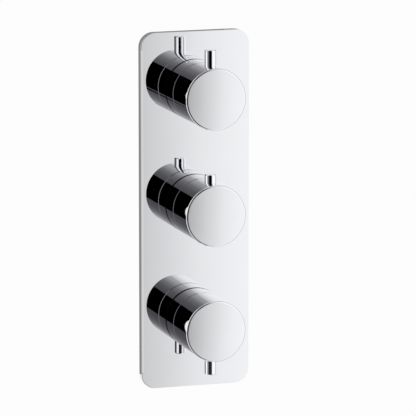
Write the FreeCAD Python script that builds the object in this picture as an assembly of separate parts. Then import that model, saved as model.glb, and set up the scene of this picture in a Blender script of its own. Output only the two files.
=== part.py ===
"""Concealed thermostatic shower valve with two flow controls and one temperature control.

Every piece is a separate solid, written to parts/NODE.step in millimetres.

Frame: the origin is the centre of the four wall screws, in the plane where the
bracket's back rests on the stud or masonry.  +X is to the right of a person who
faces the valve, +Y goes into the wall and +Z is up, so the trim stands at -Y.
Each control turns about an axis along Y.
"""
import FreeCAD, Part
import math
import os

from FreeCAD import Rotation, Vector

# --- Trim: plate, collars and knobs -------------------------------------------------
PLATE_WIDTH = 100.0
PLATE_HEIGHT = 320.0
PLATE_THICKNESS = 7.0
PLATE_SKIN = 2.2                # metal behind the polished face
PLATE_RIM = 2.0                 # metal of the turned-back edge
PLATE_CORNER_RADIUS = 13.0
PLATE_EDGE_ROUND = 0.5
GASKET_WIDTH = 7.0
TOP_MARGIN = 52.0               # from the plate's top edge down to the first control's axis
CONTROL_SPACING = 103.0

KNOB_RADIUS = 27.25
KNOB_LENGTH = 39.2
KNOB_WALL = 3.0
KNOB_FRONT_THICKNESS = 4.0
KNOB_CHAMFER = 1.5
KNOB_CROWN = 0.5                # how far the middle of the front face stands out
LINE_CHAMFER = 0.35             # both lips of the parting line between collar and knob
COLLAR_LENGTH = 20.2
COLLAR_FRONT_THICKNESS = 3.5
SEAL_THICKNESS = 1.3            # the shadow gap between plate and collar
SEAL_RECESS = 0.8
GROOVE_WIDTH = 0.8              # the parting line between collar and knob
GLIDE_RING_RECESS = 0.7
GLIDE_RING_WIDTH = 3.0
GLIDE_CLEARANCE = 0.1

PIN_RADIUS = 5.0
PIN_SETBACK = 17.5              # from the knob's front face to the pin's axis
LONG_PIN_REACH = 14.5           # how far a flow control's pin stands out of its knob
SHORT_PIN_REACH = 7.5           # the same for the temperature control
PIN_CHAMFER = 0.5
PIN_SOCKET_DEPTH = 3.0
PIN_THREAD_RADIUS = 3.0
PIN_THREAD_LENGTH = 9.0
PIN_BOSS_RADIUS = 7.0
GRUB_RADIUS = 2.5
GRUB_KEY_HALF_FLATS = 1.25
GRUB_KEY_DEPTH = 2.2

# --- Drive between knob and cartridge -----------------------------------------------
HUB_RADIUS = 13.0
HUB_RECESS = 1.7                # how far the hub stays back from the knob's open end
HUB_WEB = 1.0                   # metal between the hub's bore and the pin's thread
ADAPTER_RADIUS = 9.0
ADAPTER_FLAT = 7.6              # from the axis to the flat that the grub screw presses on
ADAPTER_END_GAP = 0.5
SPINDLE_RADIUS = 6.0
SPINDLE_END_GAP = 1.0
SPLINE_TEETH = 20
SPLINE_DEPTH = 0.7
SPLINE_CLEARANCE = 0.05
RUNNING_CLEARANCE = 0.05
FREE_CLEARANCE = 0.4
AXIAL_CLEARANCE = 0.1

STOP_BASE_THICKNESS = 4.0
STOP_SKIRT = 3.0
STOP_LUG_LENGTH = 8.0
STOP_LUG_INNER_RADIUS = 10.0
STOP_TAB_REACH = 4.9            # how far the adapter's tab stands out of it
STOP_TAB_ANGLE = 30.0
STOP_TAB_CLEARANCE = 1.0
STOP_ANGLE_CLEARANCE = 1.0
FLOW_TRAVEL = 90.0              # a quarter turn from shut to full flow
COOLER_TRAVEL = 180.0           # from the 38 degree setting down to cold
HOTTER_TRAVEL = 90.0            # from the 38 degree setting up to the hot limit

# --- Concealed body and cartridges --------------------------------------------------
BRACKET_THICKNESS = 2.5
BRACKET_WIDTH = 52.0
BRACKET_HEIGHT = 280.0
BRACKET_CORNER_RADIUS = 8.0
WALL_SCREW_MARGIN_X = 6.0       # from the bracket's side to the wall screws
WALL_SCREW_MARGIN_Z = 10.0      # from the bracket's end to the wall screws
WALL_SCREW_HOLE_RADIUS = 3.2
BODY_WALL = 3.0
SPINE_WIDTH = 32.0
SPINE_ROUND = 4.0
BOSS_BACK_CHAMFER = 1.5
GALLERY_RADIUS = 6.0
FLOOR_THICKNESS = 1.0
CHAMBER_DEPTH = 36.0
CHAMBER_RADIUS = 13.0
BODY_SETBACK = 12.0             # from the finished wall to the body's front faces
BOSS_RADIUS = 21.0
FLOOR_PORT_RADIUS = 5.0
ANNULUS_DEPTH = 2.0             # of the ring-shaped waterways cut round each chamber
PORT_DRILL_INSET = 0.2          # from the sides of a waterway in to its drilled port
BODY_SCREW_OFFSET = 11.0
BODY_SCREW_RADIUS = 2.5
BODY_SCREW_HEAD_RADIUS = 5.0
BODY_SCREW_LENGTH = 14.0
BODY_SCREW_KEY_HALF_FLATS = 1.5
BODY_SCREW_KEY_DEPTH = 2.0
PLUG_RADIUS = 7.0
PLUG_LENGTH = 8.0
PLUG_KEY_HALF_FLATS = 3.0
PLUG_KEY_DEPTH = 4.0
PLUG_INSET = 2.0
PLUG_FOOT = 3.0                 # how far the spine runs past the lowest chamber, round the plug

UNION_BORE_RADIUS = 9.3         # G 1/2 internal thread at its crests
UNION_RADIUS = 12.5
UNION_LENGTH = 13.0
UNION_HEXAGON_LENGTH = 9.0      # the spanner flats, next to the body
UNION_COLLAR_STEP = 0.8         # from the flats in to the round end
UNION_SPIGOT_RADIUS = 10.4
UNION_SPIGOT_LENGTH = 4.0
UNION_WATERWAY_RADIUS = 7.5
FILTER_THICKNESS = 1.2
FILTER_RADIUS = 8.9
FILTER_HOLE_RADIUS = 1.2
FILTER_HOLE_CIRCLE = 4.4
FILTER_HOLES = 6

SLEEVE_WALL = 1.5
SLEEVE_BORE_RADIUS = 17.0
SLEEVE_LIP_THICKNESS = 4.0
SLEEVE_ENGAGEMENT = 10.1        # how far the collar screws over the sleeve
SLEEVE_CLEARANCE = 0.5          # between the sleeve's end and the outlet's boss
PLATE_HOLE_CLEARANCE = 0.7
FLANGE_THICKNESS = 6.0
NECK_RADIUS = 11.0
NECK_LENGTH = 14.0
SEAL_RING_DEPTH = 1.6
SEAL_RING_WIDTH = 1.8
SEAL_GROOVE_WIDTH = 2.4
SEAL_RING_SETBACK = 8.0         # from the body's front face to the ring

FLOW_BORE_RADIUS = 10.0
DISC_CLEARANCE = 0.3
DISC_THICKNESS = 3.0
DISC_WINDOW_INNER = 3.0
DISC_WINDOW_OUTER = 7.4
DISC_WINDOW_ANGLE = 78.0
BASE_SEAL_LENGTH = 8.0
BASE_SEAL_PROUD = 2.0
BASE_SEAL_WALL = 2.5
HEAD_LENGTH = 6.0
SIDE_WINDOW_LENGTH = 4.0
SIDE_WINDOW_ANGLE = 50.0
SIDE_WINDOWS = 4

SHUTTLE_RADIUS = 9.0
SHUTTLE_WALL = 1.4
SHUTTLE_LENGTH = 8.0
SHUTTLE_WEB = 2.0
LEAD_SCREW_RADIUS = 4.0
LEAD = 4.0                      # how far one turn of the lead screw moves the carrier
LEAD_SCREW_END_GAP = 0.5        # left at the screw's end when the control is fully cold
LEAD_SCREW_START = 3.5          # from the body's front face to the start of the lead screw
CARRIER_SETBACK = 4.5           # from the lead screw's start to the carrier
CARRIER_LENGTH = 7.0
CARRIER_TO_SHUTTLE = 3.0
WAX_RADIUS = 5.0
WAX_TAIL = 2.0                  # of the wax capsule behind the shuttle
WAX_PISTON_RADIUS = 2.5
WAX_PISTON_LENGTH = 5.0
PORT_WINDOW_LENGTH = 3.0
RETAINER_THICKNESS = 2.0
RETAINER_BORE_RADIUS = 4.5
SPRING_RADIUS = 6.6
SPRING_WIRE_RADIUS = 0.6
SPRING_TURNS = 3

FULL_TURN = 360.0
HALF_TURN = FULL_TURN / 2

# --- Places worked out from the sizes above -----------------------------------------
TOP_Z = PLATE_HEIGHT / 2 - TOP_MARGIN
MIDDLE_Z = TOP_Z - CONTROL_SPACING
BOTTOM_Z = MIDDLE_Z - CONTROL_SPACING
WALL_SCREW_X = BRACKET_WIDTH / 2 - WALL_SCREW_MARGIN_X
WALL_SCREW_Z = BRACKET_HEIGHT / 2 - WALL_SCREW_MARGIN_Z

BODY_BACK_Y = -BRACKET_THICKNESS
GALLERY_Y = BODY_BACK_Y - BODY_WALL - GALLERY_RADIUS
SPINE_BOTTOM_Z = BOTTOM_Z - BOSS_RADIUS - PLUG_FOOT
FLOOR_Y = GALLERY_Y - GALLERY_RADIUS - FLOOR_THICKNESS
BOSS_FRONT_Y = FLOOR_Y - CHAMBER_DEPTH
WALL_Y = BOSS_FRONT_Y - BODY_SETBACK
FACE_Y = WALL_Y - PLATE_THICKNESS
COLLAR_BACK_Y = FACE_Y - SEAL_THICKNESS
COLLAR_FRONT_Y = COLLAR_BACK_Y - COLLAR_LENGTH
KNOB_BACK_Y = COLLAR_FRONT_Y - GROOVE_WIDTH
KNOB_FRONT_Y = KNOB_BACK_Y - KNOB_LENGTH
KNOB_RIM_Y = KNOB_FRONT_Y + KNOB_CROWN
PIN_Y = KNOB_FRONT_Y + PIN_SETBACK
HUB_BACK_Y = KNOB_BACK_Y - HUB_RECESS
HUB_FLOOR_Y = PIN_Y + PIN_THREAD_RADIUS + HUB_WEB
ADAPTER_FRONT_Y = HUB_FLOOR_Y + ADAPTER_END_GAP
SPINDLE_FRONT_Y = ADAPTER_FRONT_Y + SPINDLE_END_GAP
GRUB_Y = (HUB_BACK_Y + HUB_FLOOR_Y) / 2

FLANGE_FRONT_Y = BOSS_FRONT_Y - FLANGE_THICKNESS
LIP_FRONT_Y = FLANGE_FRONT_Y - SLEEVE_LIP_THICKNESS
NECK_FRONT_Y = FLANGE_FRONT_Y - NECK_LENGTH
STOP_BASE_FRONT_Y = NECK_FRONT_Y - STOP_BASE_THICKNESS
STOP_LUG_FRONT_Y = STOP_BASE_FRONT_Y - STOP_LUG_LENGTH
ADAPTER_BACK_Y = STOP_BASE_FRONT_Y - STOP_TAB_CLEARANCE
SLEEVE_FRONT_Y = COLLAR_BACK_Y - SLEEVE_ENGAGEMENT
SLEEVE_RADIUS = BOSS_RADIUS + SLEEVE_WALL
COLLAR_INNER_RADIUS = (SLEEVE_BORE_RADIUS + SLEEVE_RADIUS) / 2
SEAL_RING_Y = BOSS_FRONT_Y + SEAL_RING_SETBACK
BORE_FIT_RADIUS = SPINDLE_RADIUS + RUNNING_CLEARANCE

FIXED_DISC_BACK_Y = FLOOR_Y - BASE_SEAL_LENGTH
DISC_FACE_Y = FIXED_DISC_BACK_Y - DISC_THICKNESS
MOVING_DISC_FRONT_Y = DISC_FACE_Y - DISC_THICKNESS
HEAD_FRONT_Y = MOVING_DISC_FRONT_Y - HEAD_LENGTH
OUTLET_Y = (HEAD_FRONT_Y + MOVING_DISC_FRONT_Y) / 2
SLEEVE_BACK_Y = OUTLET_Y - UNION_RADIUS - SLEEVE_CLEARANCE

LEAD_SCREW_Y = BOSS_FRONT_Y + LEAD_SCREW_START
CARRIER_Y = LEAD_SCREW_Y + CARRIER_SETBACK
CARRIER_BACK_Y = CARRIER_Y + CARRIER_LENGTH
LEAD_SCREW_END_Y = CARRIER_BACK_Y - LEAD * COOLER_TRAVEL / FULL_TURN - LEAD_SCREW_END_GAP
SHUTTLE_Y = CARRIER_BACK_Y + CARRIER_TO_SHUTTLE
SHUTTLE_BACK_Y = SHUTTLE_Y + SHUTTLE_LENGTH
RETAINER_Y = FLOOR_Y - RETAINER_THICKNESS
HOT_PORT_Y = SHUTTLE_Y - PORT_WINDOW_LENGTH / 2
COLD_PORT_Y = SHUTTLE_BACK_Y + PORT_WINDOW_LENGTH / 2
INLET_Y = (HOT_PORT_Y + COLD_PORT_Y) / 2
INLET_SEAT_X = BOSS_RADIUS
OUTLET_SEAT_REACH = BOSS_RADIUS + UNION_SPIGOT_LENGTH

UP = 90.0                       # angles are taken from +X towards +Z, seen from the front
DOWN = -90.0


# --- Shapes ---------------------------------------------------------------------------
def turned(z, profile):
    """Revolve a closed (radius, y) outline about the control axis at height z."""
    corners = [Vector(radius, y, z) for radius, y in profile]
    outline = Part.makePolygon(corners + corners[:1])
    return Part.Face(outline).revolve(Vector(0, 0, z), Vector(0, 1, 0), FULL_TURN)


def ring(z, inner_radius, outer_radius, front_y, back_y):
    """A straight tube about the control axis at height z."""
    return turned(z, [(inner_radius, front_y), (outer_radius, front_y),
                      (outer_radius, back_y), (inner_radius, back_y)])


def rod_at(x, z, radius, front_y, back_y):
    """A straight rod along Y through the given x and z."""
    return Part.makeCylinder(radius, back_y - front_y, Vector(x, front_y, z), Vector(0, 1, 0))


def rod(z, radius, front_y, back_y):
    """A straight rod on the control axis at height z."""
    return rod_at(0, z, radius, front_y, back_y)


def sector(z, inner_radius, outer_radius, front_y, back_y, middle_angle, sweep):
    """A part of a tube, centred on middle_angle, that spans sweep degrees."""
    start = Rotation(Vector(0, -1, 0), middle_angle - sweep / 2)
    corners = [(inner_radius, front_y), (outer_radius, front_y),
               (outer_radius, back_y), (inner_radius, back_y)]
    placed = [Vector(0, 0, z) + start.multVec(Vector(radius, y, 0)) for radius, y in corners]
    outline = Part.makePolygon(placed + placed[:1])
    return Part.Face(outline).revolve(Vector(0, 0, z), Vector(0, -1, 0), sweep)


def radial_rod(z, y, radius, inner_end, outer_end, angle):
    """A round rod square to the control axis, between two distances from it."""
    direction = Vector(math.cos(math.radians(angle)), 0, math.sin(math.radians(angle)))
    start = Vector(0, y, z) + direction * inner_end
    return Part.makeCylinder(radius, outer_end - inner_end, start, direction)


def rounded_slab(width, height, corner_radius, front_y, back_y):
    """A plate with round corners, square to Y and centred on the origin."""
    slab = Part.makeBox(width, back_y - front_y, height, Vector(-width / 2, front_y, -height / 2))
    corners = [edge for edge in slab.Edges if abs(edge.tangentAt(edge.FirstParameter).y) > 0.9]
    return slab.makeFillet(corner_radius, corners)


def hexagon_rod(start, direction, half_flats, length):
    """A six-sided bar with two flats square to Y, or square to X where it runs along Y."""
    flat_normal = Vector(1, 0, 0) if abs(direction.y) > 0.5 else Vector(0, 1, 0)
    side = direction.cross(flat_normal)
    reach = half_flats / math.cos(math.pi / 6)
    corners = [start + side * (reach * math.cos(corner * math.pi / 3))
               + flat_normal * (reach * math.sin(corner * math.pi / 3)) for corner in range(6)]
    return Part.Face(Part.makePolygon(corners + corners[:1])).extrude(direction * length)


def dome(z, radius, rise, front_y):
    """A shallow round cap whose middle stands rise in front of its rim."""
    sphere_radius = (radius ** 2 + rise ** 2) / (2 * rise)
    sphere = Part.makeSphere(sphere_radius, Vector(0, front_y + sphere_radius, z))
    return rod(z, radius, front_y - rise, front_y + rise).common(sphere)


def spline_rod(z, root_radius, tooth_depth, front_y, back_y):
    """A rod with SPLINE_TEETH straight teeth along its length."""
    pitch = 2 * math.pi / SPLINE_TEETH
    corners = []
    for tooth in range(SPLINE_TEETH):
        for share, radius in ((0.10, root_radius), (0.35, root_radius + tooth_depth),
                              (0.65, root_radius + tooth_depth), (0.90, root_radius)):
            angle = (tooth + share) * pitch
            corners.append(Vector(radius * math.cos(angle), front_y, z + radius * math.sin(angle)))
    face = Part.Face(Part.makePolygon(corners + corners[:1]))
    return face.extrude(Vector(0, back_y - front_y, 0))


def arc_through_tangents(start, control, end):
    """The circular arc from start to end whose end tangents meet at control."""
    middle = (start + end) * 0.5
    half_chord = (end - start).Length / 2
    rise = (control - middle).Length
    sagitta = half_chord * math.tan(math.atan2(rise, half_chord) / 2)
    return Part.Arc(start, middle + (control - middle) * (sagitta / rise), end).toShape()


def helix_arcs(z, radius, front_y, back_y, turns):
    """A helix about the control axis as pairs of tangent arcs, one pair to a quarter turn."""
    quarters = turns * 4
    climb = (back_y - front_y) / quarters
    slope = climb / (radius * math.pi / 2)

    def point(quarter):
        angle = quarter * math.pi / 2
        return Vector(radius * math.cos(angle), front_y + climb * quarter, z + radius * math.sin(angle))

    def tangent(quarter):
        angle = quarter * math.pi / 2
        return Vector(-math.sin(angle), slope, math.cos(angle)).normalize()

    arcs = []
    for quarter in range(quarters):
        start, end = point(quarter), point(quarter + 1)
        leave, arrive = tangent(quarter), tangent(quarter + 1)
        chord = end - start
        along = chord.dot(leave + arrive)
        bend = 2 * (1 - leave.dot(arrive))
        reach = (-along + math.sqrt(along ** 2 + bend * chord.dot(chord))) / bend
        first = start + leave * reach
        last = end - arrive * reach
        joint = (first + last) * 0.5
        arcs.append(arc_through_tangents(start, first, joint))
        arcs.append(arc_through_tangents(joint, last, end))
    return arcs


# --- Trim -----------------------------------------------------------------------------
def face_plate(control_heights):
    """The polished plate: a pan, open behind, with a hole for each control's sleeve."""
    plate = rounded_slab(PLATE_WIDTH, PLATE_HEIGHT, PLATE_CORNER_RADIUS, FACE_Y, WALL_Y)
    front_edges = [edge for edge in plate.Edges if edge.BoundBox.YMax < FACE_Y + PLATE_EDGE_ROUND]
    plate = plate.makeFillet(PLATE_EDGE_ROUND, front_edges)
    pocket = rounded_slab(PLATE_WIDTH - 2 * PLATE_RIM, PLATE_HEIGHT - 2 * PLATE_RIM,
                          PLATE_CORNER_RADIUS - PLATE_RIM, FACE_Y + PLATE_SKIN, WALL_Y + PLATE_SKIN)
    plate = plate.cut(pocket)
    for z in control_heights:
        plate = plate.cut(rod(z, SLEEVE_RADIUS + PLATE_HOLE_CLEARANCE, FACE_Y - 1, WALL_Y))
    return plate


def plate_gasket():
    """The foam seal that lies inside the plate's rim and meets the finished wall."""
    front_y = FACE_Y + PLATE_SKIN
    outer_inset = 2 * PLATE_RIM
    inner_inset = outer_inset + 2 * GASKET_WIDTH
    outer = rounded_slab(PLATE_WIDTH - outer_inset, PLATE_HEIGHT - outer_inset,
                         PLATE_CORNER_RADIUS - PLATE_RIM, front_y, WALL_Y)
    inner = rounded_slab(PLATE_WIDTH - inner_inset, PLATE_HEIGHT - inner_inset,
                         (PLATE_CORNER_RADIUS - PLATE_RIM) / 2, front_y - 1, WALL_Y + 1)
    return outer.cut(inner)


def collar_seal(z):
    """The black ring between plate and collar, set back to leave a shadow line."""
    outer_radius = KNOB_RADIUS - SEAL_RECESS
    return ring(z, SLEEVE_RADIUS + PLATE_HOLE_CLEARANCE, outer_radius, COLLAR_BACK_Y, FACE_Y)


def collar(z):
    """The fixed chrome ring that screws over the sleeve and clamps the plate."""
    web_back_y = COLLAR_FRONT_Y + COLLAR_FRONT_THICKNESS
    opening = ADAPTER_RADIUS + STOP_TAB_REACH + STOP_TAB_CLEARANCE
    return turned(z, [
        (SLEEVE_RADIUS, COLLAR_BACK_Y),
        (KNOB_RADIUS, COLLAR_BACK_Y),
        (KNOB_RADIUS, COLLAR_FRONT_Y + LINE_CHAMFER),
        (KNOB_RADIUS - LINE_CHAMFER, COLLAR_FRONT_Y),
        (opening, COLLAR_FRONT_Y),
        (opening, web_back_y),
        (COLLAR_INNER_RADIUS, web_back_y),
        (COLLAR_INNER_RADIUS, SLEEVE_FRONT_Y),
        (SLEEVE_RADIUS, SLEEVE_FRONT_Y),
    ])


def glide_ring(z):
    """The plastic ring on the collar's front that the knob turns against."""
    outer_radius = KNOB_RADIUS - GLIDE_RING_RECESS
    return ring(z, outer_radius - GLIDE_RING_WIDTH, outer_radius,
                KNOB_BACK_Y + GLIDE_CLEARANCE, COLLAR_FRONT_Y)


def knob(z, pin_angle):
    """A control knob: a cup with a crowned front, a hub for the adapter and a boss for the pin."""
    inner_radius = KNOB_RADIUS - KNOB_WALL
    inner_front_y = KNOB_FRONT_Y + KNOB_FRONT_THICKNESS
    cup = turned(z, [
        (0, KNOB_RIM_Y),
        (KNOB_RADIUS - KNOB_CHAMFER, KNOB_RIM_Y),
        (KNOB_RADIUS, KNOB_RIM_Y + KNOB_CHAMFER),
        (KNOB_RADIUS, KNOB_BACK_Y - LINE_CHAMFER),
        (KNOB_RADIUS - LINE_CHAMFER, KNOB_BACK_Y),
        (inner_radius, KNOB_BACK_Y),
        (inner_radius, inner_front_y),
        (HUB_RADIUS, inner_front_y),
        (HUB_RADIUS, HUB_BACK_Y),
        (0, HUB_BACK_Y),
    ])
    crown = dome(z, KNOB_RADIUS - KNOB_CHAMFER, KNOB_CROWN, KNOB_FRONT_Y)
    boss = radial_rod(z, PIN_Y, PIN_BOSS_RADIUS, HUB_RADIUS / 2, inner_radius + KNOB_WALL / 2, pin_angle)
    thread_end = KNOB_RADIUS - PIN_SOCKET_DEPTH - PIN_THREAD_LENGTH
    holes = [
        adapter_blank(z, HUB_FLOOR_Y, HUB_BACK_Y + 1),
        radial_rod(z, PIN_Y, PIN_RADIUS, KNOB_RADIUS - PIN_SOCKET_DEPTH, KNOB_RADIUS + 1, pin_angle),
        radial_rod(z, PIN_Y, PIN_THREAD_RADIUS, thread_end, KNOB_RADIUS, pin_angle),
        radial_rod(z, GRUB_Y, GRUB_RADIUS, 0, KNOB_RADIUS + 1, DOWN),
    ]
    return cup.fuse(crown).fuse(boss).cut(holes).removeSplitter()


def lever_pin(z, angle, reach):
    """The round finger lever, with a threaded end that screws into the knob."""
    socket_floor = KNOB_RADIUS - PIN_SOCKET_DEPTH
    pin = radial_rod(z, PIN_Y, PIN_RADIUS, socket_floor, KNOB_RADIUS + reach, angle)
    outer_rim = max(pin.Edges, key=lambda edge: abs(edge.CenterOfMass.z - z))
    pin = pin.makeChamfer(PIN_CHAMFER, [outer_rim])
    thread = radial_rod(z, PIN_Y, PIN_THREAD_RADIUS, socket_floor - PIN_THREAD_LENGTH, socket_floor, angle)
    return pin.fuse(thread).removeSplitter()


def grub_screw(z):
    """The socket set screw under the knob that locks it to the adapter's flat."""
    screw = radial_rod(z, GRUB_Y, GRUB_RADIUS, ADAPTER_FLAT, HUB_RADIUS, DOWN)
    key = hexagon_rod(Vector(0, GRUB_Y, z - HUB_RADIUS), Vector(0, 0, 1), GRUB_KEY_HALF_FLATS, GRUB_KEY_DEPTH)
    return screw.cut(key)


# --- Drive ----------------------------------------------------------------------------
def adapter_blank(z, front_y, back_y):
    """A rod with the adapter's flat underneath, used for the adapter and its seat."""
    flat = Part.makeBox(2 * ADAPTER_RADIUS, back_y - front_y, ADAPTER_RADIUS,
                        Vector(-ADAPTER_RADIUS, front_y, z - ADAPTER_FLAT - ADAPTER_RADIUS))
    return rod(z, ADAPTER_RADIUS, front_y, back_y).cut(flat)


def spline_adapter(z, tab_angle):
    """The plastic insert that carries the knob on the spindle and meets the stops."""
    blank = adapter_blank(z, ADAPTER_FRONT_Y, ADAPTER_BACK_Y)
    tab = sector(z, ADAPTER_RADIUS / 2 + SPINDLE_RADIUS / 2, ADAPTER_RADIUS + STOP_TAB_REACH,
                 STOP_LUG_FRONT_Y, ADAPTER_BACK_Y, tab_angle, STOP_TAB_ANGLE)
    socket = spline_rod(z, SPINDLE_RADIUS - SPLINE_DEPTH + SPLINE_CLEARANCE, SPLINE_DEPTH,
                        SPINDLE_FRONT_Y, ADAPTER_BACK_Y + 1)
    return blank.fuse(tab).cut(socket).removeSplitter()


def splined_shaft(z, back_y):
    """The spindle's front: splined inside the adapter, then plain in the housing's neck."""
    spline = spline_rod(z, SPINDLE_RADIUS - SPLINE_DEPTH, SPLINE_DEPTH, SPINDLE_FRONT_Y, ADAPTER_BACK_Y)
    return spline.fuse(rod(z, SPINDLE_RADIUS, ADAPTER_BACK_Y, back_y))


def stop_ring(z, tab_angle, clockwise_travel, anticlockwise_travel):
    """The ring whose lug limits how far the adapter's tab can turn each way from rest."""
    outer_radius = SLEEVE_BORE_RADIUS
    base = ring(z, SPINDLE_RADIUS + FREE_CLEARANCE, outer_radius, STOP_BASE_FRONT_Y, NECK_FRONT_Y)
    skirt = ring(z, NECK_RADIUS, outer_radius, NECK_FRONT_Y, NECK_FRONT_Y + STOP_SKIRT)
    taken = clockwise_travel + anticlockwise_travel + STOP_TAB_ANGLE + 2 * STOP_ANGLE_CLEARANCE
    free_middle = tab_angle + (anticlockwise_travel - clockwise_travel) / 2
    lug = sector(z, STOP_LUG_INNER_RADIUS, outer_radius, STOP_LUG_FRONT_Y, STOP_BASE_FRONT_Y,
                 free_middle + HALF_TURN, FULL_TURN - taken)
    return base.fuse([skirt, lug]).removeSplitter()


# --- Cartridges -------------------------------------------------------------------------
def sleeve(z):
    """The nut that clamps the cartridge and reaches out through the plate for the collar."""
    return turned(z, [
        (SLEEVE_BORE_RADIUS, SLEEVE_FRONT_Y),
        (SLEEVE_RADIUS, SLEEVE_FRONT_Y),
        (SLEEVE_RADIUS, SLEEVE_BACK_Y),
        (BOSS_RADIUS, SLEEVE_BACK_Y),
        (BOSS_RADIUS, BOSS_FRONT_Y),
        (SLEEVE_BORE_RADIUS, BOSS_FRONT_Y),
        (SLEEVE_BORE_RADIUS, FLANGE_FRONT_Y),
        (NECK_RADIUS + FREE_CLEARANCE, FLANGE_FRONT_Y),
        (NECK_RADIUS + FREE_CLEARANCE, LIP_FRONT_Y),
        (SLEEVE_BORE_RADIUS, LIP_FRONT_Y),
    ])


def housing_blank(z, inner_radius, shoulder_y, back_y):
    """A cartridge housing: neck, clamped flange and barrel with a groove for its ring."""
    groove_floor = CHAMBER_RADIUS - SEAL_RING_DEPTH
    half_groove = SEAL_GROOVE_WIDTH / 2
    return turned(z, [
        (BORE_FIT_RADIUS, NECK_FRONT_Y),
        (NECK_RADIUS, NECK_FRONT_Y),
        (NECK_RADIUS, FLANGE_FRONT_Y),
        (SLEEVE_BORE_RADIUS, FLANGE_FRONT_Y),
        (SLEEVE_BORE_RADIUS, BOSS_FRONT_Y),
        (CHAMBER_RADIUS, BOSS_FRONT_Y),
        (CHAMBER_RADIUS, SEAL_RING_Y - half_groove),
        (groove_floor, SEAL_RING_Y - half_groove),
        (groove_floor, SEAL_RING_Y + half_groove),
        (CHAMBER_RADIUS, SEAL_RING_Y + half_groove),
        (CHAMBER_RADIUS, back_y),
        (inner_radius, back_y),
        (inner_radius, shoulder_y),
        (BORE_FIT_RADIUS, shoulder_y),
    ])


def housing_seal(z):
    """The square-cut rubber ring in the housing's groove."""
    return ring(z, CHAMBER_RADIUS - SEAL_RING_DEPTH, CHAMBER_RADIUS,
                SEAL_RING_Y - SEAL_RING_WIDTH / 2, SEAL_RING_Y + SEAL_RING_WIDTH / 2)


def flow_housing(z):
    """A flow cartridge's housing, with windows round the spindle's head for the water."""
    housing = housing_blank(z, FLOW_BORE_RADIUS, HEAD_FRONT_Y - AXIAL_CLEARANCE, FLOOR_Y - BASE_SEAL_PROUD)
    windows = [sector(z, FLOW_BORE_RADIUS - 1, CHAMBER_RADIUS + 1,
                      OUTLET_Y - SIDE_WINDOW_LENGTH / 2, OUTLET_Y + SIDE_WINDOW_LENGTH / 2,
                      FULL_TURN * index / SIDE_WINDOWS, SIDE_WINDOW_ANGLE) for index in range(SIDE_WINDOWS)]
    return housing.cut(windows)


def flow_spindle(z):
    """The spindle of a flow cartridge, whose round head drives the moving disc."""
    head_radius = FLOW_BORE_RADIUS - DISC_CLEARANCE
    head = rod(z, head_radius, MOVING_DISC_FRONT_Y - HEAD_LENGTH / 2, MOVING_DISC_FRONT_Y)
    return splined_shaft(z, MOVING_DISC_FRONT_Y).fuse(head).removeSplitter()


def ceramic_disc(z, radius, front_y, window_angle):
    """A ceramic disc with two opposite windows; two of these face to face make the tap."""
    windows = [sector(z, DISC_WINDOW_INNER, DISC_WINDOW_OUTER, front_y - 1, front_y + DISC_THICKNESS + 1,
                      window_angle + turn, DISC_WINDOW_ANGLE) for turn in (0, HALF_TURN)]
    return rod(z, radius, front_y, front_y + DISC_THICKNESS).cut(windows)


def base_seal(z):
    """The rubber sleeve that presses the fixed disc forward and seals the floor port."""
    return ring(z, FLOW_BORE_RADIUS - BASE_SEAL_WALL, FLOW_BORE_RADIUS, FIXED_DISC_BACK_Y, FLOOR_Y)


def thermostat_housing(z):
    """The temperature cartridge's housing, with hot windows ahead of the shuttle and cold behind."""
    bore_radius = SHUTTLE_RADIUS + RUNNING_CLEARANCE
    housing = housing_blank(z, bore_radius, LEAD_SCREW_Y + FREE_CLEARANCE, FLOOR_Y)
    windows = [sector(z, bore_radius - 1, CHAMBER_RADIUS + 1,
                      port_y - PORT_WINDOW_LENGTH / 2, port_y + PORT_WINDOW_LENGTH / 2,
                      FULL_TURN * index / SIDE_WINDOWS, SIDE_WINDOW_ANGLE)
               for port_y in (HOT_PORT_Y, COLD_PORT_Y) for index in range(SIDE_WINDOWS)]
    return housing.cut(windows)


def thermostat_spindle(z):
    """The temperature spindle, which ends in the lead screw that moves the carrier."""
    screw = rod(z, LEAD_SCREW_RADIUS, LEAD_SCREW_Y, LEAD_SCREW_END_Y)
    return splined_shaft(z, LEAD_SCREW_Y).fuse(screw).removeSplitter()


def element_carrier(z):
    """The plastic nut on the lead screw that pushes the wax element."""
    return ring(z, LEAD_SCREW_RADIUS + RUNNING_CLEARANCE, SHUTTLE_RADIUS, CARRIER_Y, CARRIER_BACK_Y)


def wax_element(z):
    """The wax capsule and its piston, which sense the mixed water."""
    capsule_end_y = SHUTTLE_BACK_Y + WAX_TAIL
    capsule = rod(z, WAX_RADIUS, CARRIER_BACK_Y, capsule_end_y)
    piston = rod(z, WAX_PISTON_RADIUS, capsule_end_y, capsule_end_y + WAX_PISTON_LENGTH)
    return capsule.fuse(piston).removeSplitter()


def mixing_shuttle(z):
    """The sleeve on the wax element whose two rims share the water between hot and cold."""
    return turned(z, [
        (SHUTTLE_RADIUS - SHUTTLE_WALL, SHUTTLE_Y),
        (SHUTTLE_RADIUS, SHUTTLE_Y),
        (SHUTTLE_RADIUS, SHUTTLE_BACK_Y),
        (WAX_RADIUS, SHUTTLE_BACK_Y),
        (WAX_RADIUS, SHUTTLE_BACK_Y - SHUTTLE_WEB),
        (SHUTTLE_RADIUS - SHUTTLE_WALL, SHUTTLE_BACK_Y - SHUTTLE_WEB),
    ])


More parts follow.
